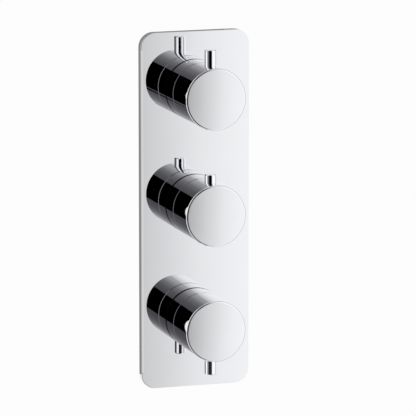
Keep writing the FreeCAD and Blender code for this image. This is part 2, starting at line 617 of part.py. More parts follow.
def return_spring(z):
    """The coil spring that pushes the shuttle back towards the lead screw."""
    start_y = SHUTTLE_BACK_Y + SPRING_WIRE_RADIUS
    end_y = RETAINER_Y - SPRING_WIRE_RADIUS
    path = Part.Wire(helix_arcs(z, SPRING_RADIUS, start_y, end_y, SPRING_TURNS))
    start = Vector(SPRING_RADIUS, start_y, z)
    section = Part.Wire(Part.makeCircle(SPRING_WIRE_RADIUS, start, Vector(0, 0, 1)))
    return path.makePipeShell([section], True, False)


def spring_retainer(z):
    """The ring at the end of the housing that the spring stands on."""
    return ring(z, RETAINER_BORE_RADIUS, SHUTTLE_RADIUS + RUNNING_CLEARANCE, RETAINER_Y, FLOOR_Y)


# --- Concealed body ---------------------------------------------------------------------
def across_rod(z, y, radius, first_x, second_x):
    """A round rod along X between two places."""
    low_x, high_x = min(first_x, second_x), max(first_x, second_x)
    return Part.makeCylinder(radius, high_x - low_x, Vector(low_x, y, z), Vector(1, 0, 0))


def body_screw_places():
    """Where the bracket's screws enter the body's spine, between the controls."""
    return [(x, z) for z in ((TOP_Z + MIDDLE_Z) / 2, (MIDDLE_Z + BOTTOM_Z) / 2)
            for x in (-BODY_SCREW_OFFSET, BODY_SCREW_OFFSET)]


def body_screw(x, z):
    """The outside of a countersunk screw through the bracket into the body."""
    head = Part.makeCone(BODY_SCREW_HEAD_RADIUS, BODY_SCREW_RADIUS, BRACKET_THICKNESS,
                         Vector(x, 0, z), Vector(0, -1, 0))
    shank = rod_at(x, z, BODY_SCREW_RADIUS, -BODY_SCREW_LENGTH, 0)
    return head.fuse(shank).removeSplitter()


def socket_screw(x, z):
    """The same screw with its socket for a hexagon key."""
    key = hexagon_rod(Vector(x, 0, z), Vector(0, -1, 0), BODY_SCREW_KEY_HALF_FLATS, BODY_SCREW_KEY_DEPTH)
    return body_screw(x, z).cut(key)


def valve_body():
    """The brass casting: three cartridge chambers on a spine that holds the mixed-water gallery."""
    spine_front_y = FLOOR_Y - BODY_WALL
    spine = Part.makeBox(SPINE_WIDTH, BODY_BACK_Y - spine_front_y, TOP_Z - SPINE_BOTTOM_Z,
                         Vector(-SPINE_WIDTH / 2, spine_front_y, SPINE_BOTTOM_Z))
    spine = spine.makeFillet(SPINE_ROUND, [edge for edge in spine.Edges
                                           if abs(edge.tangentAt(edge.FirstParameter).z) > 0.9
                                           and edge.BoundBox.YMax < BODY_BACK_Y])
    solids = [turned(z, [(0, BOSS_FRONT_Y), (BOSS_RADIUS, BOSS_FRONT_Y),
                         (BOSS_RADIUS, BODY_BACK_Y - BOSS_BACK_CHAMFER),
                         (BOSS_RADIUS - BOSS_BACK_CHAMFER, BODY_BACK_Y),
                         (0, BODY_BACK_Y)]) for z in (TOP_Z, MIDDLE_Z, BOTTOM_Z)]
    solids.append(radial_rod(TOP_Z, OUTLET_Y, UNION_RADIUS, 0, OUTLET_SEAT_REACH, UP))
    solids.append(radial_rod(BOTTOM_Z, OUTLET_Y, UNION_RADIUS, 0, OUTLET_SEAT_REACH, DOWN))
    solids.append(across_rod(MIDDLE_Z, INLET_Y, UNION_RADIUS, -INLET_SEAT_X, INLET_SEAT_X))

    cuts = [rod(z, CHAMBER_RADIUS, BOSS_FRONT_Y - 1, FLOOR_Y) for z in (TOP_Z, MIDDLE_Z, BOTTOM_Z)]
    cuts += [rod(z, FLOOR_PORT_RADIUS, FLOOR_Y - 1, GALLERY_Y) for z in (TOP_Z, MIDDLE_Z, BOTTOM_Z)]
    annulus_radius = CHAMBER_RADIUS + ANNULUS_DEPTH
    half_side_window = SIDE_WINDOW_LENGTH / 2
    half_port_window = PORT_WINDOW_LENGTH / 2
    for z in (TOP_Z, BOTTOM_Z):
        cuts.append(rod(z, annulus_radius, OUTLET_Y - half_side_window, OUTLET_Y + half_side_window))
    for port_y in (HOT_PORT_Y, COLD_PORT_Y):
        cuts.append(rod(MIDDLE_Z, annulus_radius, port_y - half_port_window, port_y + half_port_window))
    for side, port_y in ((-1, HOT_PORT_Y), (1, COLD_PORT_Y)):
        seat_floor_x = side * (INLET_SEAT_X - UNION_SPIGOT_LENGTH)
        seat_top_x = side * (INLET_SEAT_X + 1)
        cuts.append(across_rod(MIDDLE_Z, INLET_Y, UNION_SPIGOT_RADIUS, seat_floor_x, seat_top_x))
        drill_radius = half_port_window - PORT_DRILL_INSET
        cuts.append(across_rod(MIDDLE_Z, port_y, drill_radius, side * CHAMBER_RADIUS, seat_floor_x))
    for z, angle in ((TOP_Z, UP), (BOTTOM_Z, DOWN)):
        seat_floor = OUTLET_SEAT_REACH - UNION_SPIGOT_LENGTH
        cuts.append(radial_rod(z, OUTLET_Y, UNION_SPIGOT_RADIUS, seat_floor, OUTLET_SEAT_REACH + 1, angle))
        drill_radius = half_side_window - PORT_DRILL_INSET
        cuts.append(radial_rod(z, OUTLET_Y, drill_radius, CHAMBER_RADIUS, seat_floor, angle))
    gallery_length = TOP_Z - SPINE_BOTTOM_Z
    cuts.append(Part.makeCylinder(GALLERY_RADIUS, gallery_length, Vector(0, GALLERY_Y, SPINE_BOTTOM_Z)))
    cuts.append(Part.makeCylinder(PLUG_RADIUS, PLUG_LENGTH + PLUG_INSET, Vector(0, GALLERY_Y, SPINE_BOTTOM_Z)))
    for x, z in body_screw_places():
        cuts.append(rod_at(x, z, BODY_SCREW_RADIUS, -BODY_SCREW_LENGTH, 0))
    body = spine
    for solid in solids:
        body = body.fuse(solid)
    body = body.removeSplitter()
    for opening in cuts:
        body = body.cut(opening)
    return body


def gallery_plug():
    """The plug that closes the drilled end of the gallery."""
    low_z = SPINE_BOTTOM_Z + PLUG_INSET
    plug = Part.makeCylinder(PLUG_RADIUS, PLUG_LENGTH, Vector(0, GALLERY_Y, low_z))
    foot = Vector(0, GALLERY_Y, low_z)
    return plug.cut(hexagon_rod(foot, Vector(0, 0, 1), PLUG_KEY_HALF_FLATS, PLUG_KEY_DEPTH))


def union(seat, direction):
    """A pipe connector: spanner flats, a thread inside, and a spigot screwed into the body at seat."""
    hexagon = hexagon_rod(seat, direction, UNION_RADIUS, UNION_HEXAGON_LENGTH)
    collar_end = Part.makeCylinder(UNION_RADIUS - UNION_COLLAR_STEP, UNION_LENGTH, seat, direction)
    spigot_start = seat - direction * UNION_SPIGOT_LENGTH
    spigot = Part.makeCylinder(UNION_SPIGOT_RADIUS, UNION_SPIGOT_LENGTH, spigot_start, direction)
    thread = Part.makeCylinder(UNION_BORE_RADIUS, UNION_LENGTH, seat, direction)
    waterway = Part.makeCylinder(UNION_WATERWAY_RADIUS, UNION_SPIGOT_LENGTH, spigot_start, direction)
    pocket = Part.makeCylinder(FILTER_RADIUS, FILTER_THICKNESS, spigot_start, direction)
    return hexagon.fuse([collar_end, spigot]).cut([thread, waterway, pocket]).removeSplitter()


def inlet_filter(seat, direction):
    """The perforated strainer held behind an inlet's spigot."""
    start = seat - direction * UNION_SPIGOT_LENGTH
    disc = Part.makeCylinder(FILTER_RADIUS, FILTER_THICKNESS, start, direction)
    holes = [Part.makeCylinder(FILTER_HOLE_RADIUS, FILTER_THICKNESS, start, direction)]
    for index in range(FILTER_HOLES):
        turn = Rotation(direction, FULL_TURN * index / FILTER_HOLES)
        offset = turn.multVec(Vector(0, FILTER_HOLE_CIRCLE, 0))
        holes.append(Part.makeCylinder(FILTER_HOLE_RADIUS, FILTER_THICKNESS, start + offset, direction))
    return disc.cut(holes)


def wall_bracket():
    """The steel strap behind the body, with four holes for the wall screws."""
    bracket = rounded_slab(BRACKET_WIDTH, BRACKET_HEIGHT, BRACKET_CORNER_RADIUS, BODY_BACK_Y, 0)
    holes = [rod_at(x, z, WALL_SCREW_HOLE_RADIUS, BODY_BACK_Y, 0)
             for x in (-WALL_SCREW_X, WALL_SCREW_X) for z in (-WALL_SCREW_Z, WALL_SCREW_Z)]
    return bracket.cut(holes + [body_screw(x, z) for x, z in body_screw_places()])


# --- Assembly ---------------------------------------------------------------------------
def control_parts(name, z, pin_angle, pin_reach, clockwise_travel, anticlockwise_travel):
    """The pieces that all three controls share."""
    return {
        f"collar_seal_{name}": collar_seal(z),
        f"collar_{name}": collar(z),
        f"glide_ring_{name}": glide_ring(z),
        f"knob_{name}": knob(z, pin_angle),
        f"lever_pin_{name}": lever_pin(z, pin_angle, pin_reach),
        f"grub_screw_{name}": grub_screw(z),
        f"spline_adapter_{name}": spline_adapter(z, pin_angle),
        f"stop_ring_{name}": stop_ring(z, pin_angle, clockwise_travel, anticlockwise_travel),
        f"sleeve_{name}": sleeve(z),
        f"housing_seal_{name}": housing_seal(z),
    }


def flow_cartridge(name, z):
    """The pieces of one quarter-turn flow cartridge, shown shut."""
    return {
        f"flow_housing_{name}": flow_housing(z),
        f"flow_spindle_{name}": flow_spindle(z),
        f"moving_disc_{name}": ceramic_disc(z, FLOW_BORE_RADIUS - DISC_CLEARANCE, MOVING_DISC_FRONT_Y, UP),
        f"fixed_disc_{name}": ceramic_disc(z, FLOW_BORE_RADIUS, DISC_FACE_Y, 0),
        f"base_seal_{name}": base_seal(z),
    }


def thermostat_cartridge(z):
    """The pieces of the temperature cartridge, at its 38 degree setting."""
    return {
        "thermostat_housing": thermostat_housing(z),
        "thermostat_spindle": thermostat_spindle(z),
        "element_carrier": element_carrier(z),
        "wax_element": wax_element(z),
        "mixing_shuttle": mixing_shuttle(z),
        "return_spring": return_spring(z),
        "spring_retainer": spring_retainer(z),
    }


def concealed_parts():
    """The pieces inside the wall that carry the controls and the pipes."""
    hot_seat = Vector(-INLET_SEAT_X, INLET_Y, MIDDLE_Z)
    cold_seat = Vector(INLET_SEAT_X, INLET_Y, MIDDLE_Z)
    top_seat = Vector(0, OUTLET_Y, TOP_Z + OUTLET_SEAT_REACH)
    bottom_seat = Vector(0, OUTLET_Y, BOTTOM_Z - OUTLET_SEAT_REACH)
    return {
        "valve_body": valve_body(),
        "gallery_plug": gallery_plug(),
        "wall_bracket": wall_bracket(),
        "bracket_screws": Part.makeCompound([socket_screw(x, z) for x, z in body_screw_places()]),
        "hot_inlet_union": union(hot_seat, Vector(-1, 0, 0)),
        "cold_inlet_union": union(cold_seat, Vector(1, 0, 0)),
        "top_outlet_union": union(top_seat, Vector(0, 0, 1)),
        "bottom_outlet_union": union(bottom_seat, Vector(0, 0, -1)),
        "hot_inlet_filter": inlet_filter(hot_seat, Vector(-1, 0, 0)),
        "cold_inlet_filter": inlet_filter(cold_seat, Vector(1, 0, 0)),
    }


def main():
    """Build every piece and write it to its own file."""
    parts = {"face_plate": face_plate((TOP_Z, MIDDLE_Z, BOTTOM_Z)), "plate_gasket": plate_gasket()}
    parts.update(control_parts("top", TOP_Z, UP, LONG_PIN_REACH, 0, FLOW_TRAVEL))
    parts.update(control_parts("middle", MIDDLE_Z, UP, SHORT_PIN_REACH, COOLER_TRAVEL, HOTTER_TRAVEL))
    parts.update(control_parts("bottom", BOTTOM_Z, DOWN, LONG_PIN_REACH, FLOW_TRAVEL, 0))
    parts.update(flow_cartridge("top", TOP_Z))
    parts.update(flow_cartridge("bottom", BOTTOM_Z))
    parts.update(thermostat_cartridge(MIDDLE_Z))
    parts.update(concealed_parts())

    os.makedirs("parts", exist_ok=True)
    for node, shape in parts.items():
        shape.exportStep(f"parts/{node}.step")
        print(f"{node}: {len(shape.Solids)} solid(s), {shape.Volume / 1000:.2f} cm3, valid {shape.isValid()}")


main()
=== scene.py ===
"""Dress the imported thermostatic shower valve: finishes, threaded parts, studio and camera."""
import logging
import math
from dataclasses import dataclass, field
from enum import Enum
from typing import Dict, Optional, Sequence, Tuple, Union

import bpy
import numpy as np
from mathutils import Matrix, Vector


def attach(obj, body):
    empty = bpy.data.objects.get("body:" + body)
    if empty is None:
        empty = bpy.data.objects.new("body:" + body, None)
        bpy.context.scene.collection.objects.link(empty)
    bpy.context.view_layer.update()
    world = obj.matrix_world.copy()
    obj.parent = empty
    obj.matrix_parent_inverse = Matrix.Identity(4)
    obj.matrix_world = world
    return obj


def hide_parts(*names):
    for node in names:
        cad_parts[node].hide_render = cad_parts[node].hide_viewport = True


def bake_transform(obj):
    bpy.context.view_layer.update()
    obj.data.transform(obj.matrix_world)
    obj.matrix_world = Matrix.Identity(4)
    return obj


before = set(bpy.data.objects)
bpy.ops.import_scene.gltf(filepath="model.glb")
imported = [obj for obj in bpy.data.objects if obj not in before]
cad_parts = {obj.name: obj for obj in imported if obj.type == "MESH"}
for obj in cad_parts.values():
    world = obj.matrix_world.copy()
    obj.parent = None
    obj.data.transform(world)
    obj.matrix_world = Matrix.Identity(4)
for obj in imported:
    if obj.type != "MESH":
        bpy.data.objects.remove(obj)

LOG = logging.getLogger("shower_valve")
MM = 0.001
Triple = Tuple[float, float, float]
Socket = bpy.types.NodeSocket
Setting = Union[float, Sequence[float], Socket]


class Control(Enum):
    """The three controls: the ending of their node names, and their axis height in metres."""

    TOP = ("top", 0.108)
    MIDDLE = ("middle", 0.005)
    BOTTOM = ("bottom", -0.098)

    @property
    def suffix(self) -> str:
        """The ending of this control's node names."""
        return self.value[0]

    @property
    def height(self) -> float:
        """Height of the control's axis, in metres."""
        return self.value[1]

    @property
    def axis_point(self) -> Triple:
        """A point on the control's axis."""
        return (0.0, 0.0, self.height)


class Along(Enum):
    """The axis that a piece was turned about on the lathe."""

    X = "X"
    Y = "Y"
    Z = "Z"


# --- Node tree helper ---
class Board:
    """The node tree of a material or of the world, with short calls to add and join nodes."""

    def __init__(self, name: str, world: bool = False) -> None:
        """Start an empty node tree.

        Args:
            name: the new material's or world's name.
            world: True to make a world, whose place is the direction looked in.
        """
        self.block = bpy.data.worlds.new(name) if world else bpy.data.materials.new(name)
        self.block.use_nodes = True
        self.tree = self.block.node_tree
        self.tree.nodes.clear()
        self.place = self.add("ShaderNodeTexCoord").outputs["Generated" if world else "Object"]

    def add(self, kind: str, inputs: Optional[Dict[str, Setting]] = None,
            **settings: object) -> bpy.types.Node:
        """Add a node, set its options and fill its inputs.

        Args:
            kind: the node's type name.
            inputs: value or source socket for each named or numbered input.
            settings: options of the node itself.

        Returns:
            The new node.
        """
        node = self.tree.nodes.new(kind)
        for option, value in settings.items():
            setattr(node, option, value)
        for key, value in (inputs or {}).items():
            self.fill(node.inputs[int(key)] if key.isdigit() else node.inputs[key], value)
        return node

    def fill(self, target: Socket, value: Setting) -> None:
        """Join an input to its source, or set its value.

        Args:
            target: the input.
            value: the source socket, a number, a vector, or a linear colour without opacity.
        """
        if isinstance(value, bpy.types.NodeSocket):
            self.tree.links.new(value, target)
        elif target.type == "RGBA":
            target.default_value = (*value, 1.0)
        else:
            target.default_value = value

    def math(self, operation: str, first: Setting, second: Setting = 0.0) -> Socket:
        """Combine two values.

        Args:
            operation: the Math node's operation.
            first: the first value or socket.
            second: the second value or socket.

        Returns:
            The result's socket.
        """
        return self.add("ShaderNodeMath", {"0": first, "1": second}, operation=operation).outputs[0]

    def axes(self, vector: Socket) -> Sequence[Socket]:
        """The three parts of a vector, along X, Y and Z."""
        return self.add("ShaderNodeSeparateXYZ", {"0": vector}).outputs

    def within(self, value: Socket, middle: float, reach: float) -> Socket:
        """A socket that is 1 where the value is less than reach away from middle, and else 0."""
        away = self.math("ABSOLUTE", self.math("SUBTRACT", value, middle))
        return self.math("LESS_THAN", away, reach)

    def noise(self, scale: float, detail: float = 3.0, stretch: Triple = (1, 1, 1),
              seed: float = 0.0) -> Socket:
        """Noise on the piece's own coordinates.

        Args:
            scale: features per metre, roughly.
            detail: octaves.
            stretch: how much finer the pattern is along each axis.
            seed: shift that tells one pattern from another.

        Returns:
            The noise value's socket, between 0 and 1.
        """
        shift = (seed, seed * 1.7, seed * 0.6)
        moved = self.add("ShaderNodeMapping", {
            "Vector": self.place, "Location": shift, "Scale": stretch}).outputs[0]
        return self.add("ShaderNodeTexNoise", {"Vector": moved, "Scale": scale, "Detail": detail}).outputs[0]

    def spread(self, value: Socket, low: float, high: float, start: float = 0.3,
               stop: float = 0.7) -> Socket:
        """Map a value between start and stop onto low and high, clamped.

        Args:
            value: the socket to map.
            low: result at start.
            high: result at stop.
            start: lower end of the input.
            stop: upper end of the input.

        Returns:
            The mapped socket.
        """
        return self.add("ShaderNodeMapRange", {"Value": value, "From Min": start, "From Max": stop,
                                               "To Min": low, "To Max": high}).outputs[0]

    def blend(self, share: Setting, first: Setting, second: Setting) -> Socket:
        """Mix two colours.

        Args:
            share: how much of the second colour shows.
            first: colour at 0.
            second: colour at 1.

        Returns:
            The mixed colour's socket.
        """
        return self.add("ShaderNodeMix", {"0": share, "6": first, "7": second}, data_type="RGBA").outputs[2]

    def bump(self, height: Socket, strength: float, distance: float,
             below: Optional[Socket] = None) -> Socket:
        """Turn a height into a normal.

        Args:
            height: the height's socket, between 0 and 1.
            strength: share of the effect.
            distance: real height in metres.
            below: a bump that this one lies on.

        Returns:
            The normal's socket.
        """
        inputs: Dict[str, Setting] = {"Height": height, "Strength": strength, "Distance": distance}
        if below is not None:
            inputs["Normal"] = below
        return self.add("ShaderNodeBump", inputs).outputs[0]

    def rounded_edge(self, height: float, start: float, stop: float) -> Socket:
        """Normals of a small chamfer round a knob, turned as if it were a rounded edge.

        Along the chamfer the normal is n = cos(t) r - sin(t) y, where r is the unit vector away
        from the knob's axis. t goes from 24 degrees, which is nearly sideways, at start to 90
        degrees, which is the front, at stop. Elsewhere the normal is the surface's own.

        Args:
            height: height of the knob's axis.
            start: place along Y where the chamfer leaves the knob's side.
            stop: place along Y where it meets the front.

        Returns:
            The normal's socket.
        """
        across, depth, up = self.axes(self.place)
        first, last, margin = math.radians(24), math.radians(90), 0.001
        turn = self.spread(depth, first, last, start, stop)
        away = self.add("ShaderNodeCombineXYZ", {
            "0": across, "2": self.math("SUBTRACT", up, height)}).outputs[0]
        radial = self.add("ShaderNodeVectorMath", {"0": away}, operation="NORMALIZE").outputs[0]
        sideways = self.add("ShaderNodeVectorMath", {
            "0": radial, "Scale": self.math("COSINE", turn)}, operation="SCALE").outputs[0]
        forward = self.add("ShaderNodeCombineXYZ", {
            "1": self.math("MULTIPLY", self.math("SINE", turn), -1.0)}).outputs[0]
        summed = self.add("ShaderNodeVectorMath", {"0": sideways, "1": forward}, operation="ADD").outputs[0]
        turned = self.add("ShaderNodeVectorTransform", {"Vector": summed}, vector_type="NORMAL",
                          convert_from="OBJECT", convert_to="WORLD").outputs[0]
        inside = self.math("MULTIPLY", self.math("GREATER_THAN", turn, first + margin),
                           self.math("LESS_THAN", turn, last - margin))
        own = self.add("ShaderNodeNewGeometry").outputs["Normal"]
        return self.blend(inside, own, turned)

    def rings(self, centre: Triple, along: Along, pitch: float, bands: bool) -> Socket:
        """Tool marks of a lathe: circles on the ends, or grooves round the sides.

        Args:
            centre: a point on the axis.
            along: the direction of the axis.
            pitch: distance between marks in metres.
            bands: True for grooves round the sides, False for circles on the ends.

        Returns:
            The wave value's socket.
        """
        crest_gap = 0.314  # between a wave texture's crests at a scale of 1, in metres
        moved = self.add("ShaderNodeMapping", {"Vector": self.place,
                                               "Location": tuple(-value for value in centre)}).outputs[0]
        options = ({"wave_type": "BANDS", "bands_direction": along.value} if bands
                   else {"wave_type": "RINGS", "rings_direction": along.value})
        return self.add("ShaderNodeTexWave", {"Vector": moved, "Scale": crest_gap / pitch, "Distortion": 0.4,
                                              "Detail": 1.0, "Detail Scale": 0.4}, **options).outputs[1]

    def tones(self, value: Socket, stops: Sequence[Tuple[float, Union[int, Triple]]]) -> Socket:
        """Grey tones at given values, with even steps between them.

        Args:
            value: the socket that picks the tone.
            stops: each value with its 8-bit tone, made a little blue, or its linear colour, in
                rising order.

        Returns:
            The colour's socket.
        """
        low, high = stops[0][0], stops[-1][0]
        ramp = self.add("ShaderNodeValToRGB", {"0": self.spread(value, 0.0, 1.0, low, high)})
        band = ramp.color_ramp
        while len(band.elements) < len(stops):
            band.elements.new(0.5)
        for element, (place, tone) in zip(band.elements, stops):
            element.position = (place - low) / (high - low)
        for element, (place, tone) in zip(band.elements, stops):
            level = (grey(tone), grey(tone - 1), grey(tone + 3)) if isinstance(tone, int) else tone
            element.color = (*level, 1.0)
        return ramp.outputs[0]

    def seen_directly(self) -> Socket:
        """Tell what is looked at or mirrored from what only gives light.

        Returns:
            A socket that is 1 for camera, glossy and transmission rays.
        """
        path = self.add("ShaderNodeLightPath")
        mirrored = self.math("MAXIMUM", path.outputs["Is Glossy Ray"], path.outputs["Is Transmission Ray"])
        return self.math("MAXIMUM", path.outputs["Is Camera Ray"], mirrored)

    def finish(self, shader: Socket) -> bpy.types.Material:
        """Join the shader to the output.

        Args:
            shader: the socket to show.

        Returns:
            The finished material.
        """
        world = isinstance(self.block, bpy.types.World)
        self.add("ShaderNodeOutputWorld" if world else "ShaderNodeOutputMaterial", {"Surface": shader})
        return self.block

    def principled(self, inputs: Dict[str, Setting]) -> bpy.types.Material:
        """Finish with a Principled shader.

        Args:
            inputs: its inputs by name.

        Returns:
            The finished material.
        """
        return self.finish(self.add("ShaderNodeBsdfPrincipled", inputs).outputs[0])


def grey(level: int) -> float:
    """The linear value of an 8-bit tone, by the sRGB curve."""
    share = level / 255.0
    return share / 12.92 if share <= 0.04045 else ((share + 0.055) / 1.055) ** 2.4


def even(level: int) -> Triple:
    """The neutral linear colour of an 8-bit tone."""
    return (grey(level), grey(level), grey(level))


def scaled(colour: Triple, share: float) -> Triple:
    """A darker or lighter version of a colour."""
    return tuple(value * share for value in colour)


def add_object(name: str, places: np.ndarray, faces: Sequence[Sequence[int]]) -> bpy.types.Object:
    """Make a mesh object and put it into the scene.

    Args:
        name: its name.
        places: its corners, in metres.
        faces: the corner numbers of each face.

    Returns:
        The new object, at the origin and unscaled.
    """
    mesh = bpy.data.meshes.new(name)
    mesh.from_pydata(places.tolist(), [], faces)
    piece = bpy.data.objects.new(name, mesh)
    bpy.context.scene.collection.objects.link(piece)
    LOG.info("built %s: %d faces", name, len(faces))
    return piece


# --- Finishes ---
@dataclass(frozen=True)
class PolishedChrome:
    """Bright chrome plate over buffed metal."""

    tint: Triple = (0.90, 0.908, 0.922)
    roughness: float = 0.008
    haze: float = 0.016
    cloud_share: float = 0.985
    # half width of each painted shade line
    shade_line_reach: float = 0.0003

    def material(self, name: str, shade_lines: Sequence[Tuple[float, float]] = (),
                 edge: Optional[Triple] = None) -> bpy.types.Material:
        """Mirror metal with a faint polishing haze and hairline buffing marks.

        Args:
            name: the material's name.
            shade_lines: narrow darker lines round the piece, painted shade in the parting groove and at
            the joint with the plate, each with its place along Y and its share of the tint.
            edge: a chamfer that shows as a rounded edge, as its axis height, start and stop.

        Returns:
            The material.
        """
        board = Board(name)
        cloud = board.noise(scale=55.0, detail=4.0)
        hairs = board.noise(scale=420.0, detail=2.0, stretch=(0.12, 1.0, 6.0), seed=0.3)
        colour = board.blend(board.spread(cloud, 0.0, 1.0), self.tint, scaled(self.tint, self.cloud_share))
        # painted shade: darker chrome lines that stand in for the shade in a narrow groove or joint
        for place, share in shade_lines:
            on_shade_line = board.within(board.axes(board.place)[1], place, self.shade_line_reach)
            colour = board.blend(on_shade_line, colour, scaled(self.tint, share))
        return board.principled({
            "Base Color": colour, "Metallic": 1.0,
            "Roughness": board.spread(cloud, self.roughness, self.haze, start=0.35, stop=0.75),
            "Normal": board.bump(hairs, strength=0.004, distance=0.000002,
                                 below=board.rounded_edge(*edge) if edge else None)})


@dataclass(frozen=True)
class CastBrass:
    """Raw sand-cast brass whose faces were machined after casting."""

    skin: Triple = (0.47, 0.31, 0.115)
    hollow: Triple = (0.30, 0.185, 0.065)
    speck: Triple = (0.16, 0.10, 0.05)
    cut: Triple = (0.80, 0.60, 0.27)
    cut_gloss: float = 0.24
    machined_front: float = -0.0541
    circle_pitch: float = 0.0004

    def material(self, name: str) -> bpy.types.Material:
        """Grainy cast skin behind the machined front faces.

        Args:
            name: the material's name.

        Returns:
            The material.
        """
        board = Board(name)
        grain = board.noise(scale=1500.0, detail=5.0)
        patches = board.noise(scale=70.0, detail=3.0, seed=0.7)
        machined = board.math("LESS_THAN", board.axes(board.place)[1], self.machined_front)
        circles = board.rings(Control.MIDDLE.axis_point, Along.Y, self.circle_pitch, bands=False)
        patchy = board.spread(patches, 0.0, 1.0, start=0.35, stop=0.65)
        skin = board.blend(patchy, self.skin, self.hollow)
        speck = board.blend(board.spread(grain, 0.0, 0.6, start=0.5, stop=0.8), skin, self.speck)
        height = board.blend(machined, grain, circles)
        return board.principled({
            "Base Color": board.blend(machined, speck, self.cut), "Metallic": 1.0,
            "Roughness": board.math("SUBTRACT", board.spread(grain, 0.42, 0.62),
                                    board.math("MULTIPLY", machined, self.cut_gloss)),
            "Normal": board.bump(height, strength=0.45, distance=0.00012)})


@dataclass(frozen=True)
class TurnedMetal:
    """Metal straight from the lathe, with fine tool marks about its own axis."""

    colour: Triple = (0.80, 0.60, 0.27)
    shadow: Triple = (0.60, 0.42, 0.16)
    roughness: float = 0.2
    pitch: float = 0.00035
    mark: float = 0.3

    def material(self, name: str, centre: Triple, along: Along = Along.Y) -> bpy.types.Material:
        """Fine circles on the ends and grooves round the sides.

        Args:
            name: the material's name.
            centre: a point on the piece's axis.
            along: the direction of that axis.

        Returns:
            The material.
        """
        board = Board(name)
        marks = board.math("MULTIPLY", board.rings(centre, along, self.pitch, bands=False),
                           board.rings(centre, along, self.pitch, bands=True))
        stain = board.noise(scale=120.0, detail=4.0, seed=0.4)
        stained = board.spread(stain, 0.0, 1.0, start=0.4, stop=0.8)
        colour = board.blend(stained, self.colour, self.shadow)
        return board.principled({
            "Base Color": colour, "Metallic": 1.0,
            "Roughness": board.spread(stain, self.roughness, self.roughness + 0.16),
            "Normal": board.bump(marks, strength=self.mark, distance=0.00004)})


@dataclass(frozen=True)
class ZincPlatedSheet:
    """Pressed steel sheet with a bright zinc plating and rolling grain along its length."""

    colour: Triple = (0.62, 0.65, 0.68)
    dull: Triple = (0.46, 0.48, 0.51)

    def material(self, name: str) -> bpy.types.Material:
        """Long rolling grain with soft spangle.

        Args:
            name: the material's name.

        Returns:
            The material.
        """
        board = Board(name)
        rolling = board.noise(scale=260.0, detail=4.0, stretch=(7.0, 7.0, 0.15))
        spangle = board.add("ShaderNodeTexVoronoi", {"Vector": board.place, "Scale": 140.0}).outputs[1]
        tone = board.add("ShaderNodeRGBToBW", {"0": spangle}).outputs[0]
        colour = board.blend(board.spread(tone, 0.1, 0.8, start=0.0, stop=1.0), self.colour, self.dull)
        return board.principled({
            "Base Color": colour, "Metallic": 1.0, "Roughness": board.spread(rolling, 0.26, 0.44),
            "Normal": board.bump(rolling, strength=0.25, distance=0.00004)})


@dataclass(frozen=True)
class Rubber:
    """Moulded rubber with a fine matt skin."""

    colour: Triple = (0.016, 0.016, 0.017)
    bloom: Triple = (0.045, 0.045, 0.047)

    def material(self, name: str) -> bpy.types.Material:
        """Dark rubber with pale dusting where the mould compound stays.

        Args:
            name: the material's name.

        Returns:
            The material.
        """
        board = Board(name)
        fine = board.noise(scale=2600.0, detail=3.0)
        dust = board.noise(scale=160.0, detail=4.0, seed=0.2)
        dusty = board.spread(dust, 0.0, 1.0, start=0.45, stop=0.85)
        colour = board.blend(dusty, self.colour, self.bloom)
        return board.principled({
            "Base Color": colour, "Roughness": board.spread(dust, 0.52, 0.7), "Specular IOR Level": 0.35,
            "Normal": board.bump(fine, strength=0.25, distance=0.00003)})


@dataclass(frozen=True)
class CellFoam:
    """Closed-cell foam strip with small burst cells on its cut faces."""

    colour: Triple = (0.10, 0.10, 0.105)
    cell: Triple = (0.045, 0.045, 0.05)

    def material(self, name: str) -> bpy.types.Material:
        """Pitted foam: round cells of about half a millimetre, with painted shade darkening the pits.

        Args:
            name: the material's name.

        Returns:
            The material.
        """
        board = Board(name)
        cells = board.add("ShaderNodeTexVoronoi", {"Vector": board.place, "Scale": 1500.0}).outputs[0]
        pits = board.spread(cells, 0.0, 1.0, start=0.15, stop=0.55)
        # painted shade: the cell colour darkens the pits where the bump sinks
        return board.principled({
            "Base Color": board.blend(pits, self.cell, self.colour), "Roughness": 0.9,
            "Normal": board.bump(pits, strength=0.6, distance=0.0002)})


@dataclass(frozen=True)
class MouldedPlastic:
    """Injection-moulded engineering plastic with a spark-textured skin."""

    colour: Triple = (0.72, 0.71, 0.68)
    roughness: float = 0.38
    cloud_share: float = 0.88

    def material(self, name: str) -> bpy.types.Material:
        """Fine mould texture with faint flow clouds in the colour.

        Args:
            name: the material's name.

        Returns:
            The material.
        """
        board = Board(name)
        skin = board.noise(scale=2200.0, detail=2.0)
        clouds = board.noise(scale=85.0, detail=3.0, seed=0.5)
        darker = scaled(self.colour, self.cloud_share)
        return board.principled({
            "Base Color": board.blend(board.spread(clouds, 0.0, 1.0), self.colour, darker),
            "Roughness": board.spread(skin, self.roughness, self.roughness + 0.14),
            "Subsurface Weight": 0.04, "Subsurface Scale": 0.001,
            "Normal": board.bump(skin, strength=0.2, distance=0.00003)})


@dataclass(frozen=True)
class SinteredCeramic:
    """Alumina disc, lapped on its faces."""

    colour: Triple = (0.80, 0.78, 0.72)
    fleck: Triple = (0.42, 0.38, 0.33)

    def material(self, name: str) -> bpy.types.Material:
        """Pale ceramic with grain specks and a lapped gloss.

        Args:
            name: the material's name.

        Returns:
            The material.
        """
        board = Board(name)
        specks = board.noise(scale=3200.0, detail=2.0)
        flecked = board.spread(specks, 0.0, 0.35, start=0.6, stop=0.8)
        colour = board.blend(flecked, self.colour, self.fleck)
        return board.principled({
            "Base Color": colour, "Roughness": board.spread(specks, 0.14, 0.26), "Coat Weight": 0.2,
            "Coat Roughness": 0.08, "Normal": board.bump(specks, strength=0.08, distance=0.00001)})


